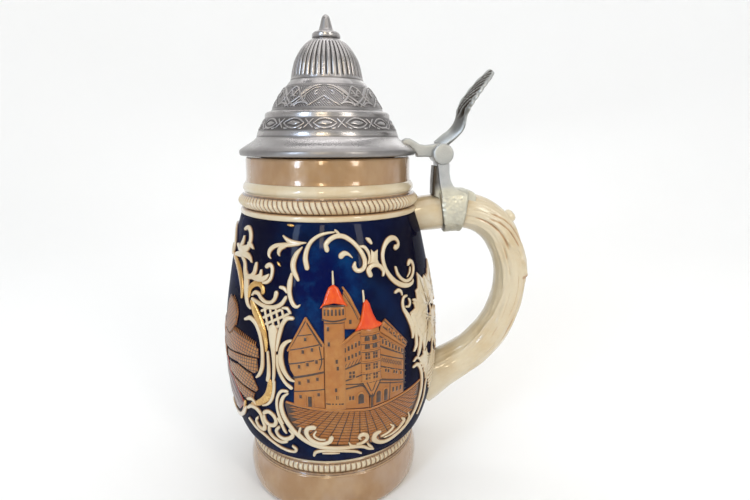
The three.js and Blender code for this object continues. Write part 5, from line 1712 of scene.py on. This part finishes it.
def handle_strap():
    """The hammered strap round the handle."""
    mesh = Mesh()
    half = (BAND_HIGH.x - BAND_LOW.x) / 2
    middle = (BAND_HIGH.x + BAND_LOW.x) / 2
    stations = [s for s in handle_line() if s[1] < 66 and s[2] > 110]        # the upper run only
    xs = [s[1] for s in stations]
    section = [(-half, 0.05), (-half, 0.9), (-half + 0.25, 1.4), (-half + 0.8, 1.62)]
    section += [(-half + 1.6 + (2 * half - 3.2) * k / 8, 1.66) for k in range(9)]
    section += [(half - 0.8, 1.62), (half - 0.25, 1.4), (half, 0.9), (half, 0.05)]
    for along, out in section:
        x = middle + along
        z, ax, az, reach = (np.interp(x, xs, [s[column] for s in stations]) for column in (2, 3, 4, 5))
        for j in range(STRAP_AROUND):
            angle = math.radians(360 * j / STRAP_AROUND)
            dent = math.sin(5.1 * angle + 0.8 * along) * math.sin(2.3 * along + 3 * angle)
            dent *= STRAP_DENTS if out > 1 else 0.0
            wide = reach * HANDLE_WIDTH_RATIO + out + dent
            tall = reach + out + dent
            c, sn = math.cos(angle), math.sin(angle)
            square = blend_step(-0.3, 0.5, c) * 0.5
            c, sn = (math.copysign(abs(value) ** (1 - square), value) for value in (c, sn))
            mesh.points.append(Vector((x + ax * tall * c, -wide * sn, z + az * tall * c)))
            mesh.stains_and_shade.append(0.8 if out < 1 else 0.35 * blend_step(0.2, 0.9, -math.cos(angle)))
    mesh.looped_rows(0, len(section), STRAP_AROUND)
    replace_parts(mesh.piece("handle_strap", STRAP, "pewter_hinge", "mug"), "handle_band")


def pin_caps():
    """The discs over the ends of the pin, slightly domed with a soft rim."""
    for side, name, node in ((-1, "pin_disc_front", "pin_cap_front"), (1, "pin_disc_rear", "pin_cap_rear")):
        mesh = Mesh()
        foot = side * (EAR_OUTER - 0.1)
        profile = [(0.05, foot), (4.0, foot), (4.15, foot + side * 0.4), (4.1, foot + side * 0.9),
                   (3.8, foot + side * 1.15), (3.0, foot + side * 1.25), (1.5, foot + side * 1.3),
                   (0.4, foot + side * 1.3), (0.05, foot + side * 1.3)]
        turned_along_y(mesh, profile if side < 0 else profile[::-1])
        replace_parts(mesh.piece(name, PEWTER_HINGE, "pewter_hinge", "mug"), node)


def lid_arm():
    """The arm from the flange to the middle knuckle."""
    mesh = Mesh()
    outline = [(29.4, 146.6), (30.4, 148.0), (31.8, 148.8), (33.4, 148.7), (35.2, 147.7), (37.4, 146.4),
               (40.0, 146.0),
               (42.6, 146.3), (45.6, 147.0), (46.6, 142.4), (42.8, 141.3), (36.4, 141.3), (36.0, 142.6),
               (33.4, 145.2)]
    plate(mesh, outline[::-1], -4.4, 4.4, 0.9)
    knuckle = [(0.05, -4.5), (4.1, -4.5), (KNUCKLE_RADIUS, -4.1), (KNUCKLE_RADIUS, 4.1), (4.1, 4.5),
               (0.05, 4.5)]
    turned_along_y(mesh, knuckle)
    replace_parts(mesh.piece("lid_lever", PEWTER_HINGE, "pewter_hinge", "lid"), "lid_arm")


# Middle line of the thumb lift: x, z, half width, thickness.
THUMB_STATIONS = [
    (45.4, 145.6, 4.3, 5.0), (47.8, 148.2, 4.4, 4.4), (50.4, 150.6, 4.8, 3.7), (52.4, 153.4, 5.6, 3.1),
    (53.5, 156.2, 6.2, 2.8), (54.2, 158.2, 7.0, 2.6), (54.8, 160.2, 9.9, 2.5), (56.0, 162.8, 11.2, 2.4),
    (57.8, 165.4, 11.0, 2.3), (61.0, 169.4, 9.6, 2.2), (64.0, 172.4, 6.8, 2.0), (65.9, 174.4, 3.2, 1.5),
    (66.3, 174.9, 0.6, 0.8),
]
THUMB_ACROSS = 44
LEAF_START = 17.5                        # where along the lever the leaf begins


def leaf_relief(s, share, half):
    """Feathered lobes that sweep up from a central rib: height and stain."""
    off = abs(share) * half
    rib = 0.9 * math.exp(-(off / 0.9) ** 2)
    sweep = s / 3.1 - off / 3.0
    wave = sweep % 1.0
    lobe = 0.55 * wave * (0.3 + 0.7 * blend_step(0.0, 3.0, off))
    veins = 0.10 * math.sin(off * 4.2 + s * 1.3)
    keep = blend_step(LEAF_START - 5, LEAF_START, s)
    rim = 0.30 * blend_step(0.84, 0.92, abs(share)) * keep
    height = keep * (max(rib, lobe) + veins) + rim
    stain = keep * (1 - blend_step(0.18, 0.62, max(rib, lobe))) + 0.5 * blend_step(4, 10, s) * (1 - keep)
    return height, stain * (1 - blend_step(0.86, 0.95, abs(share)))


def thumb_lift():
    """The leaf-shaped lever, with scales on the face that the thumb presses."""
    mesh = Mesh()
    line = spline(THUMB_STATIONS, 0.32)
    tangents = np.gradient(line[:, :2], axis=0)
    tangents /= np.hypot(tangents[:, 0], tangents[:, 1])[:, None]
    gaps = np.hypot(np.diff(line[:, 0]), np.diff(line[:, 1]))
    distance = np.concatenate([[0], np.cumsum(gaps)])
    for s, (x, z, half, thick), (tx, tz) in zip(distance, line, tangents):
        teeth = abs(math.sin(s * 1.02)) ** 0.6 - 0.6
        wavy = half * (1 + 0.09 * teeth * blend_step(LEAF_START - 2, LEAF_START + 1, s))
        dish = -0.50 + 0.36 * blend_step(9, 19, s)
        for side in (1, -1):
            for j in range(THUMB_ACROSS + 1):
                share = (2 * j / THUMB_ACROSS - 1) * side
                rise = dish * wavy * share * share
                rim = math.sqrt(max(1 - abs(share) ** 3.2, 0.0)) * (1 - 0.35 * share * share)
                rim *= side * thick / 2
                extra, stain = leaf_relief(s, share, wavy) if side > 0 else (0.0, 0.15)
                out = rise + rim + extra
                mesh.points.append(Vector((x - tz * out, wavy * share, z + tx * out)))
                mesh.stains_and_shade.append(stain)
    mesh.capped_rows(0, len(line), 2 * (THUMB_ACROSS + 1))
    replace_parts(mesh.piece("thumb_leaf", PEWTER_HINGE, "pewter_hinge", "lid"), "thumb_lift")


def dress_pin():
    """Gives the CAD pin, which stays, the pewter of its slot."""
    pin = frame["nodes"]["hinge_pin"]
    finish = pewter("pin_metal", (0.48, 0.48, 0.49), (0.12, 0.11, 0.10), 0.26, 1500, 0.2)
    for holder in pin.material_slots:
        holder.material = finish


belly_glaze()
shoulder_rings()
foot_rings()
neck_lustre()
foot_lustre()
foot_underside()
inner_glaze()
scroll_relief()
gold_relief()
town_relief()
vine_relief()
rear_relief()
branch_handle()
handle_strap()
hinge_shank()
pin_caps()
lid_shell()
lid_ornament()
lid_finial()
lid_arm()
thumb_lift()
dress_pin()

# ---------------------------------------------------------------- floor, light and camera

CAMERA_PLACE = (0.019292, -0.202748, 0.148057)
CAMERA_PITCH = 12.96                     # degrees below the horizontal
CAMERA_LENS = 22.96
SENSOR_WIDTH = 36.0

FLOOR_RADIUS = 0.7
WALL_BEND = 0.9
WALL_TOP = 2.4
WALL_AROUND = 96
BEND_STEPS = 24
FLOOR_DROP = 0.0002                      # keeps the sheet just clear of the foot


def floor():
    """A pale round sheet that curves up into a wall on all sides."""
    mesh = Mesh()
    profile = [(0.02, 0.0), (0.35, 0.0), (FLOOR_RADIUS, 0.0)]
    for k in range(1, BEND_STEPS + 1):
        angle = math.radians(90 * k / BEND_STEPS)
        profile.append((FLOOR_RADIUS + WALL_BEND * math.sin(angle), WALL_BEND * (1 - math.cos(angle))))
    profile.append((FLOOR_RADIUS + WALL_BEND, WALL_TOP))
    for radius, z in profile:
        for k in range(WALL_AROUND):
            angle = 2 * math.pi * k / WALL_AROUND
            place = (radius * math.cos(angle), radius * math.sin(angle), z - FLOOR_DROP)
            mesh.points.append(Vector(place))
    for row in range(len(profile) - 1):
        for k in range(WALL_AROUND):
            low, beside = row * WALL_AROUND + k, row * WALL_AROUND + (k + 1) % WALL_AROUND
            mesh.faces.append((low + WALL_AROUND, beside + WALL_AROUND, beside, low))
    mesh.faces.append(tuple(range(WALL_AROUND)))
    data = bpy.data.meshes.new("floor")
    data.from_pydata(mesh.points, [], mesh.faces)
    data.polygons.foreach_set("use_smooth", [True] * len(data.polygons))
    paint = Finish("floor_paper", Roughness=0.9)
    paint.set("Base Color", paint.mix(paint.noise(3, 2.0), (0.86, 0.86, 0.855), (0.88, 0.88, 0.875)))
    data.materials.append(paint.material)
    made = bpy.data.objects.new("floor", data)
    bpy.context.scene.collection.objects.link(made)


def soft_light(name, place, target, size, power, colour):
    """A rectangular area light that faces a point."""
    lamp = bpy.data.lights.new(name, "AREA")
    lamp.shape = "RECTANGLE"
    lamp.size, lamp.size_y = size
    lamp.energy = power
    lamp.color = colour
    made = bpy.data.objects.new(name, lamp)
    made.location = place
    made.rotation_euler = (Vector(target) - Vector(place)).to_track_quat("-Z", "Y").to_euler()
    bpy.context.scene.collection.objects.link(made)


def studio():
    """Pale surroundings and six soft lamps."""
    world = bpy.data.worlds.new("studio")
    world.use_nodes = True
    world.node_tree.nodes["Background"].inputs["Color"].default_value = (0.95, 0.97, 1.0, 1.0)
    world.node_tree.nodes["Background"].inputs["Strength"].default_value = 0.50
    bpy.context.scene.world = world
    middle = (0.0, 0.0, 0.10)
    soft_light("window_left", (-0.55, -0.75, 0.45), middle, (0.12, 0.62), 3.2, (0.62, 0.78, 1.0))
    soft_light("window_front", (-0.08, -0.95, 0.55), middle, (0.09, 0.50), 2.0, (1.0, 0.84, 0.58))
    soft_light("window_right", (0.60, -0.70, 0.50), middle, (0.14, 0.55), 2.2, (1.0, 0.95, 0.86))
    soft_light("lamp_above", (0.1, -0.2, 1.1), middle, (0.9, 0.9), 3.0, (1.0, 0.98, 0.95))
    soft_light("lamp_rear", (0.1, 0.9, 0.7), middle, (0.8, 0.6), 1, (1.0, 1.0, 1.0))
    soft_light("backdrop_light", (0.0, 0.45, 1.5), (0.0, 1.45, 0.5), (2.4, 0.5), 9, (1.0, 1.0, 1.0))


def camera():
    """A camera in front of the stein, a little above its middle and tilted down."""
    data = bpy.data.cameras.new("camera")
    data.lens = CAMERA_LENS
    data.sensor_width = SENSOR_WIDTH
    data.clip_start = 0.01
    made = bpy.data.objects.new("camera", data)
    made.location = CAMERA_PLACE
    made.rotation_euler = (math.radians(90 - CAMERA_PITCH), 0, 0)
    bpy.context.scene.collection.objects.link(made)
    bpy.context.scene.camera = made


floor()
studio()
camera()
bpy.context.scene.view_settings.view_transform = "Standard"
